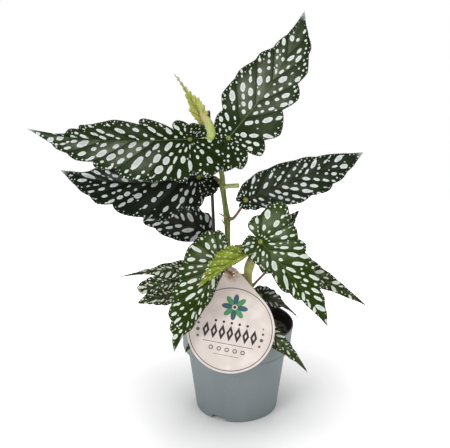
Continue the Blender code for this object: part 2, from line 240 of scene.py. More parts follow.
def turned(profile, steps, closed=False):
    """Points and faces of a body turned about Z. Its profile of (radius, height) pairs runs from its top
    outwards and down, and a radius of 0 makes a single point."""
    turns = np.linspace(0, math.tau, steps, endpoint=False)
    points, rows = [], []
    for radius, height in profile:
        ring = [(radius * math.cos(t), radius * math.sin(t), height) for t in turns]
        ring = ring if radius else ring[:1]
        rows.append(range(len(points), len(points) + len(ring)))
        points += ring
    return np.array(points), skin(rows, closed)


lip = RIM_RADIUS - WALL
outside = rounded([
    (lip + 0.1, POT_HEIGHT - 0.3), (RIM_RADIUS - 0.3, POT_HEIGHT), (RIM_RADIUS, POT_HEIGHT - 2.6),
    (RIM_RADIUS - 0.7, POT_HEIGHT - 3.4), (COLLAR_FOOT_RADIUS - 0.4, COLLAR_FOOT + 2.4),
    (COLLAR_FOOT_RADIUS + 0.1, COLLAR_FOOT + 1.6), (COLLAR_FOOT_RADIUS, COLLAR_FOOT),
    (BODY_TOP_RADIUS, SHOULDER), (BASE_RADIUS, 0), (BASE_RADIUS - WALL, 0),
], WALL_ROUNDING)
underside = rounded([
    (BASE_RADIUS - WALL, 0), (pot_radius(FLOOR_RISE) - WALL, FLOOR_RISE),
    (PAD_RADIUS + PAD_SLOPE, FLOOR_RISE), (PAD_RADIUS, 0), (0, 0),
], FLOOR_ROUNDING)
inside = rounded([
    (0, WALL), (PAD_RADIUS - 0.6, WALL), (PAD_RADIUS + PAD_SLOPE - 0.6, FLOOR_RISE + WALL),
    (pot_radius(FLOOR_RISE + WALL) - WALL, FLOOR_RISE + WALL), (BODY_TOP_RADIUS - WALL, SHOULDER + 0.6),
    (COLLAR_FOOT_RADIUS - WALL, COLLAR_FOOT + 0.6), (lip - 0.2, POT_HEIGHT - 1.2),
    (lip + 0.1, POT_HEIGHT - 0.3),
], WALL_ROUNDING)
shell = np.vstack([filled_in(outside, PROFILE_STEP)[:-1], filled_in(underside, PROFILE_STEP)])
points, faces = turned(np.vstack([shell, filled_in(inside, PROFILE_STEP)[:-1]]), POT_STEPS, closed=True)
radius, turn = np.hypot(points[:, 0], points[:, 1]), np.degrees(np.arctan2(points[:, 1], points[:, 0]))
for notch in NOTCH_TURNS:
    aside = np.radians(np.abs((turn - notch + 180) % 360 - 180)) * BASE_RADIUS
    lift = np.clip((NOTCH_WIDTH / 2 - aside) / NOTCH_SLANT, 0, 1) * NOTCH_HEIGHT - points[:, 2]
    cut = (radius > PAD_RADIUS + PAD_SLOPE) & (points[:, 2] < NOTCH_HEIGHT) & (lift > 0)
    wider = (pot_radius(points[cut, 2] + lift[cut]) - pot_radius(points[cut, 2])) / radius[cut]
    points[cut, :2] *= 1 + wider[:, None]
    points[cut, 2] += lift[cut]


def pot_skin(p):
    """Matt grey-blue, a little cloudy from the recycled plastic, with pale scuffs and a fine grain."""
    cloudy = p.cloud(24, detail=3, stretch=(1, 1, 0.35))
    specks = p.cloud(0.9, detail=1).rising(0.62, 0.72)
    scuffs = p.cloud(5, detail=6, stretch=(1, 1, 3)).rising(0.62, 0.75)
    colour = cloudy.mix((0.150, 0.178, 0.188), (0.190, 0.218, 0.226)).under(
        (specks * 0.35, (0.10, 0.12, 0.13)), (scuffs * 0.18, (0.34, 0.37, 0.38))
    )
    grain = p.cloud(0.5, detail=2) * 0.5 + p.cells(1.1) * 0.5
    return {
        "Base Color": colour, "Roughness": 0.50 + 0.16 * cloudy, "Specular IOR Level": 0.35,
        "Normal": p.relief(grain, 0.05),
    }


def pot_lining(p):
    """Black plastic with a thin film of dust and dried splashes."""
    dust = p.cloud(7, detail=5).rising(0.45, 0.8)
    return {
        "Base Color": (dust * 0.5).mix((0.006, 0.006, 0.006), (0.035, 0.03, 0.026)),
        "Roughness": 0.34 + 0.3 * dust, "Normal": p.relief(p.cloud(0.8), 0.04),
    }


plastics = [material("pot_skin", pot_skin), material("pot_lining", pot_lining)]
pot = add_piece("nursery_pot", points, faces, plastics)
lining_from = (len(shell) - 1) * POT_STEPS
pot.data.polygons.foreach_set("material_index", [min(face) > lining_from for face in faces])
build = bmesh.new()
build.from_mesh(pot.data)
bmesh.ops.remove_doubles(build, verts=build.verts, dist=SAME_PLACE * MM)
build.to_mesh(pot.data)
build.free()
pot.data.set_sharp_from_angle(angle=math.radians(SHARP_EDGE))
seat(pot, "pot_plastic", "pot")

# --------------------------------------------------------------------------------------------------
# The soil: damp dark peat, pressed down by hand to 14 mm under the rim, with grains of white perlite,
# flakes of bark and pale coir fibres lying in it.

SOIL_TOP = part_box("soil")[1].z / MM
SOIL_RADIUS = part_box("soil")[1].x / MM
SOIL_GAP, SOIL_FOOT = 0.5, 12.0
SOIL_RINGS, SOIL_STEPS = 58, 200
# How wide and how high its lumps are, and how far their middle height lies under the solid model's top.
LUMPS, SETTLED = ((14.0, 1.6), (4.5, 0.9), (1.8, 0.5)), 0.6
CRUMBS = {
    "perlite": dict(count=46, size=(0.6, 1.3), flat=0.9, colour=(0.50, 0.48, 0.43)),
    "bark": dict(count=130, size=(1.0, 2.8), flat=0.4, colour=(0.050, 0.030, 0.016)),
    "peat": dict(count=240, size=(0.8, 2.2), flat=0.8, colour=(0.012, 0.009, 0.006)),
}
CRUMB_TONES, FIBRE_TONES = (0.6, 1.2), (0.5, 1.1)
CRUMB_SCALE, CRUMB_SUNK, CRUMB_MARGIN, FIBRE_MARGIN = 1.6, 0.2, 3, 9
FIBRES, FIBRE_LENGTH, FIBRE_RADIUS, FIBRE_STEPS, FIBRE_CURL = 110, (4.0, 12.0), 0.17, 8, 0.16
FIBRE_COLOUR, FIBRE_LIFT, FIBRE_ARCH = (0.26, 0.19, 0.115), 0.35, 0.8


def soil_height(x, y):
    return SOIL_TOP - SETTLED + sum(
        depth * noise.noise(Vector((x / grain, y / grain, grain))) for grain, depth in LUMPS
    )


def soil_skin(p):
    """Damp peat: nearly black, with brown crumbs and a glint where it is wet."""
    brown = p.cloud(3.5, detail=6).rising(0.46, 0.68)
    pale = p.cloud(0.8, detail=3).rising(0.58, 0.7)
    colour = brown.mix((0.014, 0.013, 0.008), (0.090, 0.076, 0.046)).under((pale * 0.7, (0.32, 0.31, 0.22)))
    crumbs = p.cells(1.5) * 0.5 + p.cloud(0.7, detail=4) * 0.5
    return {"Base Color": colour, "Roughness": 0.55 + 0.4 * brown, "Normal": p.relief(crumbs, 0.8)}


def crumb_skin(p):
    """Each crumb has its own colour, dulled by the dirt that sticks to it."""
    colour = p.node("Attribute", {"attribute_name": "colour"}, {})
    dirt = p.cloud(1.2, detail=4).rising(0.45, 0.65)
    return {
        "Base Color": (dirt * 0.7).mix(colour, (0.012, 0.009, 0.007)), "Roughness": 0.7 + 0.2 * dirt,
        "Normal": p.relief(p.cloud(0.5, detail=3), 0.25),
    }


def toned(colour, times, plus=0.0):
    """A colour made lighter or darker, and greyer by a little white."""
    return [share * times + plus for share in colour]


def tube(route, sides, bulge=(0.8, 0.8), flat=1.0):
    """Points and faces of a closed tube round a route of (x, y, z, radius). bulge says how far each end
    swells out, and flat how thick the tube is, both as shares of its radius."""
    route = np.asarray(route, float)
    middles, radii = route[:, :3], route[:, 3]
    ways = np.gradient(middles, axis=0)
    ways /= np.linalg.norm(ways, axis=1)[:, None]
    caps = np.radians((82, 62, 35))[:, None]
    before = middles[0] - ways[0] * radii[0] * bulge[0] * np.sin(caps)
    after = middles[-1] + ways[-1] * radii[-1] * bulge[1] * np.sin(caps[::-1])
    all_middles = np.vstack([before, middles, after])
    all_radii = np.concatenate([radii[0] * np.cos(caps[:, 0]), radii, radii[-1] * np.cos(caps[::-1, 0])])
    all_ways = np.vstack([ways[[0] * 3], ways, ways[[-1] * 3]])
    turns = np.linspace(0, math.tau, sides, endpoint=False)[:, None]
    aside = np.cross(ways[0], (0, 0, 1) if abs(ways[0][2]) < 0.9 else (1, 0, 0))
    aside /= np.linalg.norm(aside)
    rings = []
    for middle, radius, way in zip(all_middles, all_radii, all_ways):
        aside = aside - way * (aside @ way)
        aside /= np.linalg.norm(aside)
        edge = np.cos(turns) * aside + flat * np.sin(turns) * np.cross(way, aside)
        rings.append(middle + radius * edge)
    poles = [middles[0] - ways[0] * radii[0] * bulge[0], middles[-1] + ways[-1] * radii[-1] * bulge[1]]
    rows = [range(i * sides, (i + 1) * sides) for i in range(len(rings))]
    last = len(rings) * sides
    return np.vstack([*rings, poles]), skin([[last + 1], *rows[::-1], [last]])


def gathered(parts):
    """Many small closed shapes as one list of points and one of faces."""
    points, faces = [], []
    for some_points, some_faces in parts:
        faces += [tuple(len(points) + i for i in face) for face in some_faces]
        points += [tuple(point) for point in some_points]
    return points, faces


def soil_place(draw, inset):
    """Somewhere on the soil at least inset from the pot."""
    radius, turn = (SOIL_RADIUS - inset) * math.sqrt(draw.random()), draw.random() * math.tau
    return radius * math.cos(turn), radius * math.sin(turn)


def crumb(draw, size, flat):
    """A rough lump: a ball pushed in and out, squashed and laid on the soil."""
    x, y = soil_place(draw, CRUMB_MARGIN)
    offset, turn = Vector(draw.uniform(0, 99, 3)), Matrix.Rotation(draw.uniform(0, math.tau), 3, "Z")
    place = Vector((x, y, soil_height(x, y) + CRUMB_SUNK * size * flat))
    points = []
    for corner in ball_points:
        rough = 1 + 0.5 * noise.noise(corner * 1.4 + offset)
        points.append(place + turn @ (corner * rough * size / 2 * Vector((1.2, 0.8, flat))))
    return points, ball_faces


def fibre(draw):
    """A pale coir fibre, bent a little, lying over the crumbs."""
    x, y = soil_place(draw, FIBRE_MARGIN)
    step, turn = draw.uniform(*FIBRE_LENGTH) / FIBRE_STEPS, draw.uniform(0, math.tau)
    curl = draw.uniform(-FIBRE_CURL, FIBRE_CURL)
    route = []
    for share in np.linspace(0, 1, FIBRE_STEPS + 1):
        arch = FIBRE_ARCH * math.sin(share * math.pi)
        route.append((x, y, soil_height(x, y) + FIBRE_LIFT + arch, FIBRE_RADIUS))
        x, y, turn = x + math.cos(turn) * step, y + math.sin(turn) * step, turn + curl * step
    return tube(route, sides=5)


off_wall = SOIL_GAP + WALL
profile = [(r, SOIL_TOP) for r in np.linspace(0, SOIL_RADIUS, SOIL_RINGS)]
profile += [
    (COLLAR_FOOT_RADIUS - off_wall, COLLAR_FOOT + 1.2), (BODY_TOP_RADIUS - off_wall, SHOULDER + 1.2),
    (pot_radius(SOIL_FOOT) - off_wall, SOIL_FOOT), (0, SOIL_FOOT),
]
points, faces = turned(profile, SOIL_STEPS)
surface = points[:, 2] == SOIL_TOP
points[surface, 2] = [soil_height(x, y) for x, y in points[surface, :2]]
soil = add_piece("soil_bed", points, faces, [material("soil_skin", soil_skin)])
seat(soil, "soil", "soil")

build = bmesh.new()
bmesh.ops.create_icosphere(build, subdivisions=2, radius=1)
ball_points = [vert.co.copy() for vert in build.verts]
ball_faces = [[vert.index for vert in face.verts] for face in build.faces]
build.free()
draw = np.random.default_rng(5)
parts, colours = [], []
for kind in CRUMBS.values():
    for _ in range(kind["count"]):
        parts.append(crumb(draw, draw.uniform(*kind["size"]) * CRUMB_SCALE, kind["flat"]))
        colours += [toned(kind["colour"], draw.uniform(*CRUMB_TONES))] * len(ball_points)
for _ in range(FIBRES):
    parts.append(fibre(draw))
    colours += [toned(FIBRE_COLOUR, draw.uniform(*FIBRE_TONES))] * len(parts[-1][0])
points, faces = gathered(parts)
crumbs = add_piece("soil_crumbs", points, faces, [material("crumb_skin", crumb_skin)])
kept = crumbs.data.attributes.new("colour", "FLOAT_COLOR", "POINT")
kept.data.foreach_set("color", [value for colour in colours for value in (*colour, 1)])
seat(crumbs, "soil", "soil")
# --------------------------------------------------------------------------------------------------
# The stake: a straight rod of black plastic pushed into the soil behind the main stem. Its top is rounded,
# and nothing ties it to the stem.

FOOT, SUNK = 82.6, 9.0
STAKE_FOOT, STAKE_TOP, STAKE_RADIUS = (-20.0, 6.0, FOOT), (-29.0, 8.0, 318.0), 1.75
STAKE_STEPS, STAKE_SIDES = 60, 28


def stake_skin(p):
    """Black plastic drawn through a die: fine lines along it, and a little dust."""
    lines = p.cloud(0.35, detail=2, stretch=(1, 1, 0.03))
    dust = p.cloud(3, detail=5).rising(0.55, 0.8)
    return {
        "Base Color": (dust * 0.3).mix((0.008, 0.008, 0.008), (0.05, 0.045, 0.04)),
        "Roughness": 0.33 + 0.3 * dust, "Normal": p.relief(lines, 0.06),
    }


foot, top = np.array(STAKE_FOOT), np.array(STAKE_TOP)
shares = np.linspace(-SUNK / (top - foot)[2], 1, STAKE_STEPS)
route = [(*(foot + (top - foot) * share), STAKE_RADIUS) for share in shares]
black_plastic = [material("stake_skin", stake_skin)]
stake = add_piece("stake_rod", *tube(route, STAKE_SIDES, bulge=(0.5, 0.7)), black_plastic)
seat(stake, "stake_plastic", "support_stake")

# --------------------------------------------------------------------------------------------------
# The stems: juicy green canes, thinner than a pencil, with a swollen joint and a scar wherever a leaf leaves
# them. They grow out of the soil. A stub on the main one is what is left of a leaf that was cut off.

STEM_STEP, STEM_SIDES = 1.3, 28
SWELLING, SWELLING_LENGTH = 0.45, 2.6
WAIST, WAIST_LENGTH, SCAR_LENGTH = 0.2, 0.8, 0.5
STEMS = {
    "main_stem": ((
        (-1, 2, FOOT, 3.4), (-1, 2, 95, 3.4), (-3, 0, 109, 3.3), (-6, -1, 138, 3.3), (-9, -2, 164, 3.1),
        (-10, -3, 177, 3.0), (-10, -4, 196, 3.0), (-10.5, -4, 211, 3.3), (-13, -5, 230, 2.7),
        (-15, -5, 245, 3.0), (-15.5, -6, 257, 2.5), (-19.5, -7, 272, 2.9), (-23.5, -9, 284, 2.6),
        (-28, -11, 294.6, 2.5),
    ), (112, 139, 165, 183, 212, 246, 272.5, 284.5)),
    "side_shoot": ((
        (13.5, -14, FOOT, 3.2), (13.5, -14, 92, 3.2), (13.7, -17, 106, 3.1), (13.3, -23, 130, 3.2),
        (12.6, -27, 147, 3.3), (10.9, -31, 160, 3.9), (12.1, -35, 172, 5.0), (16, -38, 184, 3.6),
    ), (124, 148, 161, 181)),
}
STUB = ((-14, -5.2, 245, 2.6), (-11.6, -5.6, 245.4, 2.4), (-6, -6.5, 246.2, 2.3), (1, -8, 247, 2.4))
STUB_STEP, DRIED_LENGTH = 0.8, 1.6


def smooth_route(points, step):
    """Points about step apart on a smooth curve through the given ones, with their radii too."""
    points = np.asarray(points, float)
    ends = np.vstack([points[0], points, points[-1]])
    route = []
    for a, b, c, d in zip(ends, ends[1:], ends[2:], ends[3:]):
        count = max(2, round(np.linalg.norm((c - b)[:3]) / step))
        for t in np.arange(count) / count:
            weights = (-t + 2 * t**2 - t**3, 2 - 5 * t**2 + 3 * t**3, t + 4 * t**2 - 3 * t**3, t**3 - t**2)
            route.append(np.array(weights) @ np.stack([a, b, c, d]) / 2)
    return np.array([*route, points[-1]])


def hump(off, length):
    """1 where off is 0, falling smoothly away on both sides over about this length."""
    return np.exp(-((off / length) ** 2))


def round_tube(values, sides):
    """One value for each point of a tube's route, as the marks that the tube's own points need."""
    rings = np.concatenate([[values[0]] * 3, values, [values[-1]] * 3])
    return np.concatenate([np.repeat(rings, sides), [values[0], values[-1]]])


STEM_COLOURS = {
    "main_stem": ((0.050, 0.075, 0.009), (0.172, 0.220, 0.038), (0.050, 0.062, 0.012)),
    "side_shoot": ((0.215, 0.225, 0.045), (0.420, 0.440, 0.140), (0.190, 0.145, 0.045)),
}


def stem_skin(p, dark, pale, dusky):
    """Green skin, paler on its ridges, with fine pale flecks along it and brown scars at its joints."""
    ridges = p.cloud(1.1, detail=2, stretch=(1, 1, 0.07))
    shade = p.cloud(16, detail=2).rising(0.4, 0.7)
    flecks = p.cells(2.0, stretch=(1, 1, 0.5)).rising(0.2, 0.1)
    scar = p.marked("scar")
    colour = ridges.rising(0.35, 0.7).mix(dark, pale).under(
        (shade * 0.5, dusky), (flecks * 0.5, (0.48, 0.52, 0.32)), (scar * 0.75, (0.17, 0.105, 0.035))
    )
    return {
        "Base Color": colour, "Roughness": 0.4 + 0.2 * scar + 0.1 * ridges, "Specular IOR Level": 0.35,
        "Subsurface Weight": 0.12, "Subsurface Scale": 0.001,
        "Normal": p.relief(ridges * 0.7 + p.cloud(0.5) * 0.15 - scar * 0.4, 0.25),
    }


def stub_skin(p):
    """The same skin gone pale and dull, dried to brown where it was cut."""
    ridges = p.cloud(1.0, detail=2, stretch=(0.07, 1, 1))
    dried = p.marked("dried")
    colour = ridges.rising(0.35, 0.7).mix((0.200, 0.235, 0.065), (0.36, 0.39, 0.15))
    colour = colour.under((dried, (0.40, 0.33, 0.17)))
    return {
        "Base Color": colour, "Roughness": 0.42 + 0.35 * dried,
        "Normal": p.relief(ridges * 0.6 + p.cloud(0.5) * 0.4 * dried, 0.25),
    }


for name, (points, joints) in STEMS.items():
    lowest = (*points[0][:2], FOOT - SUNK, points[0][3])
    route = smooth_route((lowest, *points), STEM_STEP)
    scar = np.zeros(len(route))
    for joint in joints:
        above = route[:, 2] - joint
        route[:, 3] += SWELLING * hump(above, SWELLING_LENGTH) - WAIST * hump(above, WAIST_LENGTH)
        scar = np.maximum(scar, hump(above, SCAR_LENGTH))
    skin_colours = STEM_COLOURS[name]
    skin_paint = material(name + "_skin", lambda p: stem_skin(p, *skin_colours))
    cane = add_piece(name + "_cane", *tube(route, STEM_SIDES), [skin_paint])
    keep_marks(cane, scar=round_tube(scar, STEM_SIDES))
    seat(cane, "green_stem", name)

route = smooth_route(STUB, STUB_STEP)
pale_skin = [material("stub_skin", stub_skin)]
stub = add_piece("cut_stalk_stub", *tube(route, STEM_SIDES, bulge=(0.3, 0.15)), pale_skin)
stub.data.set_sharp_from_angle(angle=math.radians(55))
dried = np.clip(1 + (route[:, 0] - STUB[-1][0]) / DRIED_LENGTH, 0, 1) ** 2
keep_marks(stub, dried=round_tube(dried, STEM_SIDES))
seat(stub, "green_stem", "cut_stalk")

# --------------------------------------------------------------------------------------------------
# The dry scales: two papery brown stipules. Each was left behind at a joint of the main stem when its leaf
# opened, and hangs on by its foot.

STIPULES = {
    "stipule_upper": (
        (-11.6, -7.4, 213.6, 1.5), (-12.3, -8.2, 215, 1.5), (-17, -9, 217.5, 1.0), (-22, -8, 221, 0.25),
    ),
    "stipule_lower": (
        (-11.4, -6.8, 205, 1.6), (-12.2, -7.6, 206, 1.6), (-14.5, -8.6, 209.5, 1.3), (-15, -8.5, 213, 0.3),
    ),
}
SCALE_STEP, SCALE_SIDES, SCALE_FLATNESS = 0.7, 16, 0.2


def scale_skin(p):
    """Dry brown paper with fibres along it."""
    fibres = p.cloud(0.5, detail=3, stretch=(0.3, 1, 1))
    return {
        "Base Color": fibres.rising(0.3, 0.7).mix((0.11, 0.065, 0.025), (0.36, 0.27, 0.13)),
        "Roughness": 0.75, "Normal": p.relief(fibres, 0.12),
    }


dry_paper = material("scale_skin", scale_skin)
for name, points in STIPULES.items():
    route = smooth_route(points, SCALE_STEP)
    scale = add_piece(name + "_scale", *tube(route, SCALE_SIDES, flat=SCALE_FLATNESS), [dry_paper])
    seat(scale, "dry_scale", name)


# --------------------------------------------------------------------------------------------------
# The leaves: lopsided wing-shaped blades, half a millimetre thick and puckered between sunken veins, with
# toothed edges. The top is green with silver spots that stand a little proud, and the underside is dull red.
# Each sits on its own stalk, at the notch between its two lobes.

LEAF_THICKNESS = 0.5
SPINE_STEPS, EDGE_STEPS, POINT_SPACING, LEAST_SPACING, SPACING_SHARE = 240, 1500, 0.9, 0.55, 110
# How far apart the rows of an even grid of triangles lie, for points that are 1 apart.
GRID_ROWS = 0.866
# The veins, from the one beside the notch to the tip's: where each starts on the midrib, its angle, and how
# far it reaches on the broad half and on the slim one. All but the angle are shares of the leaf's length.
VEINS = (
    (0, 179.85, 0.20, 0.13), (0, 150, 0.25, 0.16), (0, 118, 0.24, 0.165), (0, 88, 0.25, 0.175),
    (0.01, 62, 0.275, 0.21), (0.05, 47, 0.325, 0.28), (0.17, 38, 0.34, 0.315), (0.31, 31, 0.34, 0.30),
    (0.46, 27, 0.30, 0.25), (0.62, 23, 0.235, 0.185), (0.78, 20, 0.14, 0.115), (1, 15, 0, 0),
)
TIP_VEIN = len(VEINS) - 1
LOBE_VEIN, LOBE_SPREAD = 2.3, 1.5
SIDE_VEINS = (1.3, 2.7, 4.2, 5.4, 6.7, 7.9, 9.2)
NICK_SHIFT, NICK_DEPTHS, NICK_SHARPNESS = 0.15, (0.5, 1.5), 1.7
TOOTH_PITCH, TOOTH_DEPTH = 2.3, 0.5
TOOTH_SHAPE = ((0, 0), (0.35, 0.55), (0.7, 1.0), (0.88, 0.4))
TOOTH_LENGTHS, TOOTH_HEIGHTS, TEETH_START, TEETH_END = (0.7, 1.3), (0.45, 1.25), 4, 6
MIDRIB_ROUNDING, MIDRIB_WIDTH = 0.8, 1.5
PUCKER, WAVE, WAVE_RATE, CURL, CURL_WIDTH, SPOT_LIFT = 0.30, 0.010, 2.6, 0.9, 5, 0.12
# The rows of spots: how far across from vein to vein each lies, how far it stays from both ends, how far
# apart its spots are, and how their widths vary. HEART_LANES is how many of the lanes beside the notch have
# rounder ones, and BARE_HEART how far round the notch there are none.
SPOT_ROWS, ROW_MARGIN, SPOT_GAPS, SPOT_WIDTHS = (0.26, 0.74), 2.5, (1.2, 6.0), (0.5, 1.15)
HEART_LANES, HEART_STRETCH, SPOT_STRETCH, BARE_HEART = 2, 1.4, 2.5, 6.0
WIDEST_SPOT, LEAST_SPOT, SMALL_SPOTS, SMALL_SIZE = 2.9, 0.55, 0.18, 0.55
SPOT_BLEND, SPOT_WOBBLE, WOBBLE_GRAIN = 0.3, 0.38, 2.0
# Lines of small spots along the edge: how far in each lies, how far apart its spots are, and their radii.
EDGE_SPOTS = ((1.1, 3.4, (0.34, 0.58)), (3.4, 6.5, (0.5, 1.0)))
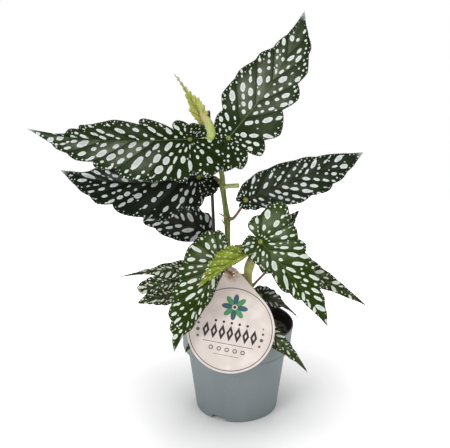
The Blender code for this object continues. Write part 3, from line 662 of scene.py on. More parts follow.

# Each leaf: where its stalk meets it, its tip, how far it is rolled about the line between them, how far it
# curves down and sideways, how its halves fold up and how wide they are. full is how far the edge reaches at
# some of the veins against the plain shape, nicks where it is cut in between two lobes and how deep (an even
# row, scallop deep, without them), and crest where it stands out between two. spots, heart and long are the
# spots' size, their size by the notch and how drawn out they are, dots how many small ones there are, sheen
# how strong the sheen painted by the veins is, and lit where along the leaf it grows. Of two values in
# brackets, one is for its left half and the other for its right one.
PLAIN_LEAF = dict(
    bend=0, widths=0.8, lobes=1, taper=0, full={0: 1, TIP_VEIN: 1}, nicks=None, scallop=0.07, crest=0.4,
    teeth=1, dots=1, heart=0.75, long=1, sheen=0.8, lit=(0, 0.15),
)
LEAVES = {
    "top_right": dict(
        attach=(-9, -17, 297), tip=(59, -36, 417), roll=92, droop=8, bend=28, fold=6, broad="right",
        widths=(1.05, 1), lobes=(0.6, 1), crest=0.25, colours="deep", spots=(0.99, 0.95), dots=0.7,
        heart=0.8, sheen=(1.3, 0.75), lit=(0.1, 0.4),
        full=(
            {0: 0.92, 3: 1.06, 6: 1.07, 7.4: 1.06, 8.2: 1, 9: 1, 10: 0.88},
            {0: 0.95, 1: 1, 2.5: 0.95, 3.8: 1.02, 5.3: 1.07, 7: 1.04, 8.5: 1.06, 10: 0.95},
        ),
        nicks=(
            {1.3: 0.05, 2.6: 0.1, 4.45: 0.28, 5.6: 0.05, 6.9: 0.05, 8.2: 0.06, 9.4: 0.05},
            {1.7: 0.12, 3.2: 0.36, 4.45: 0.24, 6.08: 0.26, 7.13: 0.18, 8.3: 0.06, 9.4: 0.05},
        ),
    ),
    "upper_left": dict(
        attach=(-46, -22, 297), tip=(-192, -60, 314), roll=-72, droop=10, bend=-20, fold=(5, 52),
        broad="left", widths=(1.15, 1.1), taper=0.3, crest=0.55, colours="deep", spots=(1.22, 0.75),
        dots=0.65, heart=0.72, long=1.2, sheen=(1.15, 0.2), lit=(0.12, 0.4),
        full=(
            {0: 1.05, 2: 1.04, 4: 1.06, 5.6: 1.14, 7: 1.07, 9: 1.07, 10: 0.97},
            {
                0: 0.72, 2: 0.77, 3.7: 0.9, 4.3: 0.9, 5.5: 1.06, 6.7: 1.14, 8: 1.24, 8.8: 1.16,
                9.5: 0.72, 10: 0.7,
            },
        ),
        nicks=(
            {1.2: 0.04, 2.9: 0.27, 4.1: 0.05, 5.2: 0.05, 6.35: 0.16, 7.35: 0.15, 8.5: 0.07, 9.5: 0.04},
            {1.3: 0.08, 2.3: 0.05, 3.3: 0.24, 4.85: 0.55, 6: 0.33, 7.2: 0.03, 8.6: 0.24, 9.7: 0.05},
        ),
    ),
    "middle_left": dict(
        attach=(-39, -2, 254), tip=(-171, -30, 268), roll=-70, droop=10, bend=-30, fold=(8, 50),
        broad="left", widths=(1.3, 1), lobes=(0.45, 0.8), taper=0.25, crest=0.45, colours="violet",
        spots=(0.8, 1.05), dots=0.6, heart=0.85, long=1.25, sheen=(0.2, 1.3),
        full=(
            {0: 1.35, 1.7: 1.23, 3.1: 1.24, 4.5: 1.08, 6.6: 1.1, 8.4: 1.03, 10: 1},
            {0: 1, 6: 1.1, 8.5: 1.4, 10: 1.3},
        ),
        nicks=(
            {1.2: 0.1, 2.6: 0.18, 4.2: 0.28, 5.6: 0.05, 7.2: 0.17, 8.3: 0.05, 9.4: 0.04},
            {1.3: 0.05, 2.7: 0.08, 4.2: 0.12, 5.4: 0.1, 6.7: 0.16, 7.9: 0.1, 9.1: 0.06},
        ),
    ),
    "dark_left": dict(
        attach=(-31, 18, 188.5), tip=(-124, 30, 224), roll=-60, droop=15, fold=(5, 20), broad="left",
        widths=(0.88, 1), scallop=0.12, colours="violet", spots=1.25, dots=0.5, heart=1, long=1.3,
        sheen=0.4,
        full=(
            {0: 0.4, 2: 0.4, 3.5: 0.62, 4.7: 0.82, 5.4: 1.1, 7: 1.18, 9: 1},
            {0: 0.4, 2: 0.45, 2.8: 0.62, 3.6: 1.1, 6: 1.03, 10: 1},
        ),
    ),
    "right": dict(
        attach=(8, -14, 234), tip=(121, -20, 284), roll=75, droop=5, fold=(12, 4), broad="right",
        widths=(0.8, 0.82), lobes=(0.8, 0.75), taper=-0.3, colours="blue", spots=(0.8, 0.84), dots=0.6,
        long=1.15, sheen=(0.6, 0.5),
        full=(
            {0: 0.8, 1.8: 0.7, 3.5: 0.93, 6: 0.91, 9: 1, 10: 0.95},
            {0: 0.5, 3: 0.5, 4.4: 0.55, 5: 0.76, 6: 0.92, 7.2: 1.06, 10: 0.98},
        ),
        nicks=(
            {1.3: 0.03, 2.7: 0.05, 4.2: 0.04, 5.4: 0.06, 6.7: 0.04, 7.9: 0.05, 9.2: 0.03},
            {1.5: 0.08, 3.1: 0.12, 4.5: 0.16, 5.6: 0.14, 6.6: 0.12, 7.8: 0.1, 9: 0.06},
        ),
    ),
    "front_right": dict(
        attach=(22, -48, 202), tip=(89, -60, 118), roll=56, droop=15, bend=-8, fold=(5, 12), broad="left",
        widths=(1.3, 1.2), lobes=(1.35, 1), taper=0.4, colours="bright", spots=(1.02, 1.05), dots=0.7,
        heart=1, long=1.35, sheen=(1.2, 1.1), lit=(0.5, -0.05),
        full=(
            {0: 0.85, 0.6: 0.64, 1.4: 0.66, 2.1: 1, 2.6: 1.1, 3.3: 1.02, 5: 1.14, 8: 1.13, 9: 1.2},
            {0: 0.5, 1: 0.75, 2: 1.02, 2.4: 1.12, 4: 0.98, 5.4: 0.9, 6.5: 1, 9: 0.92},
        ),
        nicks=(
            {1.5: 0.05, 3.3: 0.16, 4.4: 0.08, 5.4: 0.1, 6.6: 0.08, 7.8: 0.1, 9: 0.06},
            {1.3: 0.08, 3.1: 0.1, 4.5: 0.12, 5.65: 0.26, 7.2: 0.14, 8.3: 0.17, 9.4: 0.06},
        ),
    ),
    "front_left": dict(
        attach=(-16, -45, 180), tip=(-61, -76, 97), roll=-45, droop=15, bend=8, fold=(45, 5), broad="right",
        widths=(1, 1.5), taper=0.35, scallop=0.1, colours="bright", spots=(0.92, 0.9), dots=0.7, heart=1.3,
        long=1.35, sheen=(1.2, 1.1), lit=(0.5, -0.05),
        full=(
            {0: 0.55, 2.4: 0.45, 4: 0.7, 5.5: 0.9, 6.6: 1.15, 8: 1.4, 10: 1.1},
            {0: 0.6, 0.6: 0.7, 1.2: 0.96, 2.6: 1, 4: 1.07, 5.5: 1.04, 7: 1.06, 9: 1.02},
        ),
    ),
    "young": dict(
        attach=(12, -44, 190), tip=(-37, -80, 166), roll=-12, droop=30, fold=35, broad="left", widths=0.6,
        scallop=0.2, teeth=3.2, colours="young", spots=0.7, dots=0.5,
        full={0: 0.1, 2: 0.15, 3: 0.9, 4: 1.9, 8: 1.9, 11: 1.5},
    ),
    "bud": dict(
        attach=(-33, -16, 312), tip=(-60, -27, 360), roll=-90, droop=-12, bend=12, fold=50, broad="right",
        scallop=0, teeth=6, colours="bud", spots=0,
        full=(
            {0: 0.4, 3: 0.95, 5: 1.15, 6.2: 1.05, 7.4: 0.75, 8.5: 0.5, 9.5: 0.45},
            {0: 0.3, 3: 0.5, 5: 0.8, 6.2: 0.85, 7.4: 0.6, 8.5: 0.45, 9.5: 0.4},
        ),
    ),
    "back_left_high": dict(
        attach=(-53, -10, 160), tip=(-125, 5, 143), roll=-70, droop=20, bend=10, fold=(10, 60),
        broad="right", colours="low", spots=1.1, dots=0.5, long=1.2,
        full={0: 1, 4: 0.95, 6: 0.74, 7.5: 0.5, 9: 0.45},
    ),
    "back_left_mid": dict(
        attach=(-53, 0, 147), tip=(-103, -5, 131), roll=-60, droop=20, fold=(10, 30), broad="right",
        widths=(0.8, 0.9), scallop=0.12, colours="low", spots=1.1, dots=0.5, long=1.2,
        full={0: 1, 6: 1.1, 8: 1.5, 10: 1.9},
    ),
    "back_left_low": dict(
        attach=(-54, 5, 127), tip=(-107, 10, 111), roll=-50, droop=20, fold=(10, 30), broad="right",
        widths=1, scallop=0.12, colours="low", spots=1.1, dots=0.5, long=1.2,
    ),
    "far_right": dict(
        attach=(48, -18, 174), tip=(132, -30, 127), roll=50, droop=20, fold=(30, 10), broad="right",
        widths=(0.6, 0.8), colours="low", spots=0.8, dots=0.9, long=1.4,
        full=(
            {0: 1, 11: 1},
            {0: 1, 3: 0.9, 6: 0.75, 9: 0.65},
        ),
    ),
    "small_dark": dict(
        attach=(24, -20, 134), tip=(63, -30, 112), roll=30, droop=60, fold=20, broad="left",
        widths=(0.9, 1.1), colours="dusky", spots=1.25, dots=0.2, long=2.4, sheen=1.2,
        full={0: 1.1, 4: 1.1, 6: 0.9, 7.5: 0.5, 9: 0.35},
    ),
    "over_rim": dict(
        attach=(26, -36, 108), tip=(71, -67, 71), roll=30, droop=30, fold=(20, 10), broad="left",
        widths=(0.7, 1), scallop=0.1, colours="bright", spots=0.75, dots=0.8, long=1.5,
        full={0: 0.3, 3: 0.5, 5: 0.85, 7: 0.8, 9: 0.7},
    ),
    "left_rim": dict(
        attach=(-27, -40, 114), tip=(-52, -60, 88), roll=-20, droop=30, fold=10, broad="left",
        colours="bright", spots=0.85, dots=0.5,
    ),
    "behind_right": dict(
        attach=(42, 14, 180), tip=(64, 12, 216), roll=60, droop=20, fold=10, broad="left", widths=1,
        scallop=0.12, colours="low", spots=0.9, dots=0.5,
    ),
}

# Each palette: a leaf's flesh, the sheen painted beside its veins, its veins, its silver spots, its
# underside, and where along it the dry tip starts, if that isn't at DRY_TIP.
DRY_TIP, NOTCH_GREEN = 0.93, (0.30, 0.34, 0.10)
LEAF_COLOURS = {
    "deep": dict(
        flesh=(0.009, 0.018, 0.002), sheen=(0.118, 0.134, 0.094), vein=(0.11, 0.15, 0.06),
        silver=(0.56, 0.60, 0.57), red=(0.10, 0.03, 0.02),
    ),
    "violet": dict(
        flesh=(0.004, 0.008, 0.003), sheen=(0.054, 0.056, 0.050), vein=(0.03, 0.02, 0.015),
        silver=(0.47, 0.50, 0.49), red=(0.12, 0.03, 0.025),
    ),
    "blue": dict(
        flesh=(0.007, 0.012, 0.003), sheen=(0.050, 0.062, 0.046), vein=(0.05, 0.035, 0.02),
        silver=(0.52, 0.56, 0.54), red=(0.11, 0.03, 0.02),
    ),
    "bright": dict(
        flesh=(0.017, 0.032, 0.002), sheen=(0.098, 0.122, 0.066), vein=(0.07, 0.11, 0.02),
        silver=(0.57, 0.63, 0.55), red=(0.12, 0.05, 0.02),
    ),
    "low": dict(
        flesh=(0.011, 0.020, 0.003), sheen=(0.086, 0.106, 0.054), vein=(0.05, 0.06, 0.03),
        silver=(0.56, 0.60, 0.49), red=(0.09, 0.03, 0.02),
    ),
    "dusky": dict(
        flesh=(0.020, 0.026, 0.015), sheen=(0.105, 0.118, 0.096), vein=(0.05, 0.05, 0.03),
        silver=(0.45, 0.47, 0.43), red=(0.09, 0.03, 0.02),
    ),
    "young": dict(
        flesh=(0.135, 0.180, 0.014), sheen=(0.300, 0.380, 0.060), vein=(0.26, 0.17, 0.05),
        silver=(0.56, 0.60, 0.30), red=(0.24, 0.16, 0.04), dry=0.85,
    ),
    "bud": dict(
        flesh=(0.320, 0.340, 0.085), sheen=(0.420, 0.430, 0.165), vein=(0.36, 0.28, 0.13),
        silver=(0.66, 0.52, 0.41), red=(0.37, 0.32, 0.13), dry=0.5,
    ),
}


def eased(values, at):
    """Values given at 0, 1, 2 and so on, read off a smooth curve that doesn't swing past any of them."""
    values = np.asarray(values, float)
    at = np.clip(at, 0, len(values) - 1)
    rises = np.diff(values)
    level = rises[:-1] * rises[1:] <= 0
    shared = 2 * rises[:-1] * rises[1:] / np.where(level, 1, rises[:-1] + rises[1:])
    slopes = np.concatenate([[rises[0]], np.where(level, 0, shared), [rises[-1]]])
    i = np.minimum(np.floor(at).astype(int), len(rises) - 1)
    t = at - i
    ends = values[i] * (1 + 2 * t) * (1 - t) ** 2 + values[i + 1] * t**2 * (3 - 2 * t)
    return ends + slopes[i] * t * (1 - t) ** 2 + slopes[i + 1] * t**2 * (t - 1)


def gently(value, low, high):
    """0 under low, 1 over high, and smooth between."""
    share = np.clip((value - low) / (high - low), 0, 1)
    return share**2 * (3 - 2 * share)


def lengths_along(line):
    """How far along a line each of its points is."""
    return np.concatenate([[0], np.cumsum(np.linalg.norm(np.diff(line, axis=0), axis=1))])


def distances(points, others):
    """How far each point of a flat shape is from the nearest of the others."""
    tree = kdtree.KDTree(len(others))
    for i, other in enumerate(others):
        tree.insert((*other, 0), i)
    tree.balance()
    return np.array([tree.find((*point, 0))[2] for point in points])


def of_half(value, side):
    """What a leaf's entry says for one half: 1 is its left half and -1 its right one."""
    return value[side < 0] if isinstance(value, tuple) else value


class Half:
    """One half of a blade laid flat, in millimetres: x runs along the midrib and y away from it. A vein is
    counted as the given ones are, from 0 beside the notch to the tip's, and may lie between two of them."""

    def __init__(self, leaf, side, length, draw):
        width, lobe, nicks = of_half(leaf.widths, side), of_half(leaf.lobes, side), of_half(leaf.nicks, side)
        self.veins, self.full, self.crest = [], of_half(leaf.full, side), leaf.crest
        slim = leaf.broad != ("left" if side > 0 else "right")
        for i, (start, angle, *reaches) in enumerate(VEINS):
            away = i - LOBE_VEIN if lobe > 1 else max(0, i - LOBE_VEIN)
            swell = 1 + (lobe - 1) * math.exp(-((away / LOBE_SPREAD) ** 2))
            reach = reaches[slim] * (width * swell * (1 - leaf.taper * i / 10))
            self.veins.append((start * length, math.radians(angle), reach * length))
        nicks = nicks or {
            vein + draw.uniform(-NICK_SHIFT, NICK_SHIFT): leaf.scallop * draw.uniform(*NICK_DEPTHS)
            for vein in SIDE_VEINS
        }
        self.borders = np.array([0, *nicks, TIP_VEIN])
        self.nicks = np.array([0, *nicks.values(), 0])

    def line(self, vein):
        """Where a vein starts on the midrib, its angle and how far it reaches."""
        vein = np.asarray(vein, float)
        start, angle, reach = (eased(values, vein) for values in zip(*self.veins))
        inner = 1 - np.clip(vein, 0, 1)
        full = np.interp(vein, list(self.full), list(self.full.values()))
        return start, angle, reach * full * (0.55 + 0.45 * np.sqrt(1 - inner**2))

    def lane(self, vein):
        """Which two of the side veins a place lies between."""
        return np.clip(np.searchsorted(self.borders, vein, side="right") - 1, 0, len(self.borders) - 2)

    def share(self, vein, lane):
        """How far across its lane a vein lies, from 0 to 1."""
        return (vein - self.borders[lane]) / (self.borders[lane + 1] - self.borders[lane])

    def edge(self, vein):
        """The blade's edge before its teeth are cut: scalloped, with a nick where each side vein ends."""
        start, angle, reach = self.line(vein)
        lane = self.lane(vein)
        share = self.share(vein, lane)
        before, after = 1 - share / self.crest, (share - self.crest) / (1 - self.crest)
        cut = self.nicks[lane] * np.clip(before, 0, 1) ** NICK_SHARPNESS
        reach = reach * (1 - cut - self.nicks[lane + 1] * np.clip(after, 0, 1) ** NICK_SHARPNESS)
        return np.stack([start + reach * np.cos(angle), reach * np.sin(angle)], axis=-1)

    def span(self, vein):
        """Where one vein starts, its angle, and how far it is along it to the edge."""
        start, angle, _ = (float(value) for value in self.line(vein))
        x, y = self.edge(np.array([vein]))[0]
        return start, angle, math.hypot(x - start, y)

    def find(self, x, y):
        """The vein that would run through a place."""
        low, high = np.zeros(len(x)), np.full(len(x), float(TIP_VEIN))
        for _ in range(22):
            middle = (low + high) / 2
            start, angle, _ = self.line(middle)
            past = np.arctan2(y, x - start) > angle
            low, high = np.where(past, low, middle), np.where(past, middle, high)
        return (low + high) / 2

    def off_border(self, border, x, y):
        """How far a place is from one of the side veins."""
        start, angle, _ = self.line(self.borders[border])
        along = (x - start) * np.cos(angle) + y * np.sin(angle)
        aside = np.abs(y * np.cos(angle) - (x - start) * np.sin(angle))
        return np.where(along > 0, aside, np.hypot(x - start, y))


class Blade:
    """A leaf's middle surface, as the solid model has it, and its two flat halves."""

    def __init__(self, leaf, draw):
        self.leaf, self.attach = leaf, np.array(leaf.attach, float)
        self.droop, self.bend = math.radians(leaf.droop), math.radians(leaf.bend)
        self.fold = np.radians([of_half(leaf.fold, side) for side in (1, -1)])
        reach = np.array(leaf.tip) - self.attach
        along = unit(reach)
        level = unit(np.cross((0, 0, 1), along))
        turn = math.radians(leaf.roll)
        left = level * math.cos(turn) + np.cross(along, level) * math.sin(turn)
        self.axes = np.stack([along, left, np.cross(along, left)])
        steps = self.heading((np.arange(SPINE_STEPS) + 0.5) / SPINE_STEPS) / SPINE_STEPS
        self.spine = np.vstack([np.zeros(3), np.cumsum(steps, axis=0)])
        self.length = np.linalg.norm(reach) / np.linalg.norm(self.spine[-1])
        self.halves = {side: Half(leaf, side, self.length, draw) for side in (1, -1)}

    def angles(self, u):
        share = np.maximum(0, u) ** 2 - 1 / 3
        return self.droop * share, self.bend * share

    def heading(self, u):
        down, side = self.angles(u)
        return np.stack([np.cos(side) * np.cos(down), np.sin(side) * np.cos(down), -np.sin(down)], axis=-1)

    def place(self, x, y, lift):
        """Where a point of the flat blade is in space, lifted off the surface on its upper side."""
        u = x / self.length
        down, side = self.angles(u)
        normal = np.stack([np.sin(down) * np.cos(side), np.sin(down) * np.sin(side), np.cos(down)], axis=-1)
        heading = self.heading(u)
        left = np.cross(normal, heading)
        shares = np.linspace(0, 1, SPINE_STEPS + 1)
        middle = np.stack([np.interp(u, shares, values) for values in self.spine.T], axis=-1)
        middle += heading * np.minimum(u, 0)[:, None]
        rise = np.where(y >= 0, self.fold[0], self.fold[1])
        soft = np.sqrt(y**2 + MIDRIB_ROUNDING**2) - MIDRIB_ROUNDING
        tilt = rise * np.clip(np.abs(y) / MIDRIB_WIDTH, 0, 1)
        face = normal * np.cos(tilt)[:, None] - left * (np.sign(y) * np.sin(tilt))[:, None]
        flat = left * (y * np.cos(rise))[:, None] + normal * (soft * np.sin(rise))[:, None]
        return self.attach + (middle * self.length + flat + face * lift[:, None]) @ self.axes

    def back(self, distance):
        """A point this far behind the place where the stalk joins."""
        return self.place(np.zeros(1), np.zeros(1), np.array([-float(distance)]))[0]


def toothed(line, size, draw):
    """An edge with small teeth that lean along it, and how far out on its tooth each point is."""
    lengths = lengths_along(line)
    count = max(6, round(lengths[-1] / (TOOTH_PITCH * size**0.5)))
    ends = np.concatenate([[0], np.cumsum(draw.uniform(*TOOTH_LENGTHS, count))])
    ends *= lengths[-1] / ends[-1]
    at, out = [], []
    for low, high in zip(ends, ends[1:]):
        height = draw.uniform(*TOOTH_HEIGHTS)
        at += [low + share * (high - low) for share, _ in TOOTH_SHAPE]
        out += [height * share for _, share in TOOTH_SHAPE]
    at, out = np.array([*at, lengths[-1]]), np.array([*out, 0])
    places = np.stack([np.interp(at, lengths, line[:, i]) for i in (0, 1)], axis=-1)
    ways = np.gradient(places, axis=0)
    ways /= np.linalg.norm(ways, axis=1)[:, None] + 1e-9
    shrink = gently(at, 0, TEETH_START) * gently(lengths[-1] - at, 0, TEETH_END)
    outward = np.stack([-ways[:, 1], ways[:, 0]], axis=-1)
    return places + outward * (out * (TOOTH_DEPTH * size) * shrink)[:, None], out * shrink


def room_round(x, y, spots, share):
    """How far a place is from the nearest spot, less this share of that spot's length and width."""
    gaps = (math.hypot(x - sx, y - sy) - share * (long + narrow) for sx, sy, long, narrow, _ in spots)
    return min(gaps, default=9)


def lane_spots(half, leaf, size, draw):
    """Two rows of spots between side veins, small by the midrib, long halfway out, then small again."""
    spots = []
    for lane, (low, high) in enumerate(zip(half.borders, half.borders[1:])):
        heart, stretch = (leaf.heart, HEART_STRETCH) if lane < HEART_LANES else (1, SPOT_STRETCH)
        for share in SPOT_ROWS:
            start, angle, reach = half.span(low + (high - low) * (share + draw.uniform(-0.07, 0.07)))
            out = ROW_MARGIN + draw.uniform(0, 4)
            while out < reach - ROW_MARGIN:
                here = np.array([start + out * math.cos(angle)]), np.array([out * math.sin(angle)])
                room = float(half.off_border(lane, *here)[0] + half.off_border(lane + 1, *here)[0]) / 2
                swell = 0.35 + 0.65 * math.sin(math.pi * min(1, (out + 2) / reach) ** 0.85) ** 1.2
                narrow = min(WIDEST_SPOT, 0.36 * room) * swell * draw.uniform(*SPOT_WIDTHS) * size * heart
                if draw.random() < SMALL_SPOTS:
                    narrow *= SMALL_SIZE
                narrow = max(LEAST_SPOT, narrow)
                long = min(narrow * draw.uniform(1.15, stretch) * leaf.long, (reach - out) / 2.2)
                x, y = start + (out + long) * math.cos(angle), (out + long) * math.sin(angle)
                off_notch = y > 3 or x > BARE_HEART
                fits = off_notch and room > 2 and long > narrow * 0.8
                if fits and room_round(x, y, spots, 0.55) > 0.55 * (long + narrow) + 0.5:
                    spots.append((x, y, long, narrow, angle + draw.uniform(-0.18, 0.18)))
                    out += 2 * long + draw.uniform(*SPOT_GAPS)
                else:
                    out += 1.3
    return spots


def scattered_spots(half, leaf, size, draw, taken):
    """A few small spots strewn between the rows, and two lines of them along the edge."""
    wanted = []
    for vein in np.arange(0.6, TIP_VEIN - 0.6, 0.3 / leaf.dots):
        start, angle, reach = half.span(vein)
        out = reach * draw.uniform(0.2, 0.9)
        x, y = start + out * math.cos(angle), out * math.sin(angle)
        wanted.append((x, y, angle, draw.uniform(0.45, 0.9) * size, draw.uniform(1, 1.6)))
    line = half.edge(np.linspace(0.1, TIP_VEIN - 0.1, 900))
    lengths = lengths_along(line)
    for inset, spacing, radii in EDGE_SPOTS:
        at = draw.uniform(0.5, 2)
        while at < lengths[-1] - 2:
            i = int(np.searchsorted(lengths, at))
            way = unit(line[min(i + 3, 899)] - line[max(i - 3, 0)])
            x, y = line[i] + np.array([way[1], -way[0]]) * inset * draw.uniform(0.75, 1.3)
            if y > inset * 0.8:
                wanted.append((x, y, None, draw.uniform(*radii) * size**0.5, draw.uniform(1, 1.5)))
            at += spacing / leaf.dots**0.7 * draw.uniform(0.75, 1.3)
    spots = []
    for x, y, angle, radius, stretch in wanted:
        angle = draw.uniform(0.2, 0.9) if angle is None else angle
        off_notch = y > (1.5 if x > BARE_HEART else 4) and math.hypot(x, y) > BARE_HEART
        if off_notch and room_round(x, y, taken + spots, 0.5) > radius + 0.7:
            spots.append((x, y, radius * stretch, radius, angle))
    return spots


def spot_field(points, spots):
    """How far inside a spot each point is. Spots that nearly touch run together."""
    if not spots:
        return np.full(len(points), -5.0)
    total = np.zeros(len(points))
    wobble = np.array([noise.noise(Vector((*point, 0)) / WOBBLE_GRAIN) for point in points])
    for x, y, long, narrow, angle in spots:
        off = points - (x, y)
        way = np.array([math.cos(angle), math.sin(angle)])
        far = np.hypot(off @ way / long, off @ (-way[1], way[0]) / narrow)
        total += np.exp(np.clip((1 - far) * narrow / SPOT_BLEND, -30, 30))
    return SPOT_BLEND * np.log(np.maximum(total, 1e-7)) + SPOT_WOBBLE * wobble


def sides_of(face):
    """The sides of a face, each as the two points it runs between, the lower number first."""
    return [tuple(sorted(pair)) for pair in zip(face, face[1:] + face[:1])]


def shared_by(faces):
    """How many faces share each side."""
    counts = {}
    for face in faces:
        for pair in sides_of(face):
            counts[pair] = counts.get(pair, 0) + 1
    return counts


def points_on_margin(faces):
    return {i for pair, count in shared_by(faces).items() if count == 1 for i in pair}


def split_crossings(flat, tooth, faces):
    """A side that runs from margin to margin gets a point in its middle, so the blade is as thick there."""
    margin = points_on_margin(faces)
    crossings = [pair for pair, count in shared_by(faces).items() if count == 2 and margin.issuperset(pair)]
    middle = {pair: len(flat) + k for k, pair in enumerate(crossings)}
    split = []
    for face in faces:
        ring = []
        for corner, pair in zip(face, sides_of(face)):
            ring += [corner, middle[pair]] if pair in middle else [corner]
        first = ring.index(max(ring)) if max(ring) >= len(flat) else 0
        ring = ring[first:] + ring[:first]
        split += [[ring[0], b, c] for b, c in zip(ring[1:], ring[2:])]
    flat = np.vstack([flat, *(flat[list(pair)].mean(axis=0) for pair in crossings)])
    return flat, np.append(tooth, [tooth[list(pair)].mean() for pair in crossings]), split


def cut_outline(blade, draw):
    """The blade's toothed outline, how far out on its tooth each point is, and the spots on each half."""
    outline, tooth, spots = [], [], {}
    for side, half in blade.halves.items():
        line, out = toothed(half.edge(np.linspace(0, TIP_VEIN, EDGE_STEPS)), blade.leaf.teeth, draw)
        size = of_half(blade.leaf.spots, side)
        spots[side] = lane_spots(half, blade.leaf, size, draw) if size else []
        if size:
            spots[side] += scattered_spots(half, blade.leaf, size, draw, spots[side])
        order = slice(None) if side > 0 else slice(-2, None, -1)
        outline += [*(line[order] * (1, side))]
        tooth += [*out[order]]
    return np.array([*outline, (0, 0)]), [*tooth, 0], spots


def inner_points(half, side, spots, outline, spacing):
    """Points inside one half: along its side veins, round its small spots, and in a grid between those."""
    kept = []
    for vein in half.borders[1:-1]:
        start, angle, reach = half.span(vein)
        out = np.arange(spacing, reach - 0.5 * spacing, spacing)
        kept.append(np.stack([start + out * np.cos(angle), out * np.sin(angle)], axis=-1))
    turns = np.linspace(0, math.tau, 6, endpoint=False)
    for x, y, long, narrow, angle in spots:
        if narrow < 1.1:
            ring = np.stack([1.2 * long * np.cos(turns), 1.2 * narrow * np.sin(turns)], axis=-1)
            way = np.array([[math.cos(angle), math.sin(angle)], [-math.sin(angle), math.cos(angle)]])
            kept.append(np.vstack([ring @ way, np.zeros(2)]) + (x, y))
    kept = np.vstack(kept)
    low, high = np.min(outline, axis=0), np.max(outline * (1, side), axis=0)
    grid = np.array([
        (x + (row % 2) * spacing / 2, y)
        for row, y in enumerate(np.arange(spacing * 0.8, high[1], spacing * GRID_ROWS))
        for x in np.arange(low[0], high[0], spacing)
    ])
    both = np.vstack([kept, grid[distances(grid, kept) > spacing * 0.55]])
    vein = half.find(both[:, 0], both[:, 1])
    start, _, _ = half.line(vein)
    edge = half.edge(vein)
    out, reach = np.hypot(both[:, 0] - start, both[:, 1]), np.hypot(edge[:, 0] - start, edge[:, 1])
    return both[(out < reach - 0.45 * spacing) & (both[:, 1] > 0.3)] * (1, side)


def flat_blade(blade, draw):
    """The blade laid flat as triangles, how far out on a tooth its points are, its outline and its spots."""
    outline, tooth, spots = cut_outline(blade, draw)
    spacing = min(POINT_SPACING, max(LEAST_SPACING, blade.length / SPACING_SHARE))
    rib = np.arange(spacing, blade.length - spacing, spacing)
    inner = [inner_points(half, side, spots[side], outline, spacing) for side, half in blade.halves.items()]
    flat = np.vstack([outline, np.stack([rib, 0 * rib], axis=-1), *inner])
    count = len(outline)
    ribs = [count - 1, *range(count, count + len(rib)), int(np.argmax(outline[:, 0]))]
    points, _, triangles, origins, _, _ = geometry.delaunay_2d_cdt(
        [Vector(point) for point in flat], list(zip(ribs, ribs[1:])), [list(range(count))], 1, 1e-4
    )
    faces = [face for face in triangles if len(set(face)) == 3]
    used = sorted({i for face in faces for i in face})
    number = {old: new for new, old in enumerate(used)}
    flat = np.array([points[i] for i in used])
    tooth = np.array([max([tooth[j] for j in origins[i] if j < count], default=0) for i in used])
    return *split_crossings(flat, tooth, [[number[i] for i in face] for face in faces]), outline, spots


def leaf_marks(blade, flat, outline, spots):
    """How far each point is from a side vein, the midrib, the edge, the notch and the rim of a spot, how
    strong the painted sheen is there, how far the flesh is puckered up there, and the number of its vein."""
    vein_off, pucker, spot, out_share, number, shine = (np.zeros(len(flat)) for _ in range(6))
    for side, half in blade.halves.items():
        here = flat[:, 1] * side >= 0
        x, y = flat[here, 0], np.abs(flat[here, 1])
        vein = half.find(x, y)
        lane = half.lane(vein)
        near, far = np.zeros(len(x)), np.zeros(len(x))
        for border in range(len(half.borders)):
            off = half.off_border(border, x, y)
            near = np.where(lane == border, off, near)
            far = np.where(lane + 1 == border, off, far)
        start, _, reach = half.line(vein)
        last = len(half.borders) - 2
        vein_off[here] = np.minimum(np.where(lane > 0, near, 9), np.where(lane < last, far, 9))
        pucker[here] = 1 / (1 / (near + 0.01) + 1 / (far + 0.01) + 0.6 / (y + 0.01))
        spot[here] = spot_field(np.stack([x, y], axis=-1), spots[side])
        out_share[here] = np.clip(np.hypot(x - start, y) / (reach + 0.01), 0, 1)
        number[here] = vein
        # The painted sheen: a highlight painted into the colour, a little all over and mostly in a band just
        # past each side vein. It fades toward the edge, the tip and the notch, grows along the leaf over
        # lit, and is as strong on each half as the leaf's entry says.
        share = half.share(vein, lane)
        beside_vein = gently(share, 0, 0.15) * (1 - gently(share, 0.35, 0.85))
        fading = (1 - gently(out_share[here], 0.55, 0.97)) * (1 - 0.6 * gently(x / blade.length, 0.35, 0.9))
        lighter = gently(x / blade.length, *blade.leaf.lit) * gently(np.hypot(x, y), 4, 20)
        shine[here] = of_half(blade.leaf.sheen, side) * fading * lighter * (0.35 + 0.65 * beside_vein)
    return dict(
        vein=vein_off, rib=np.abs(flat[:, 1]), edge=distances(flat, outline), spot=spot, out=out_share,
        along=flat[:, 0] / blade.length, notch=np.hypot(*flat.T), sheen=shine,
    ), pucker, number


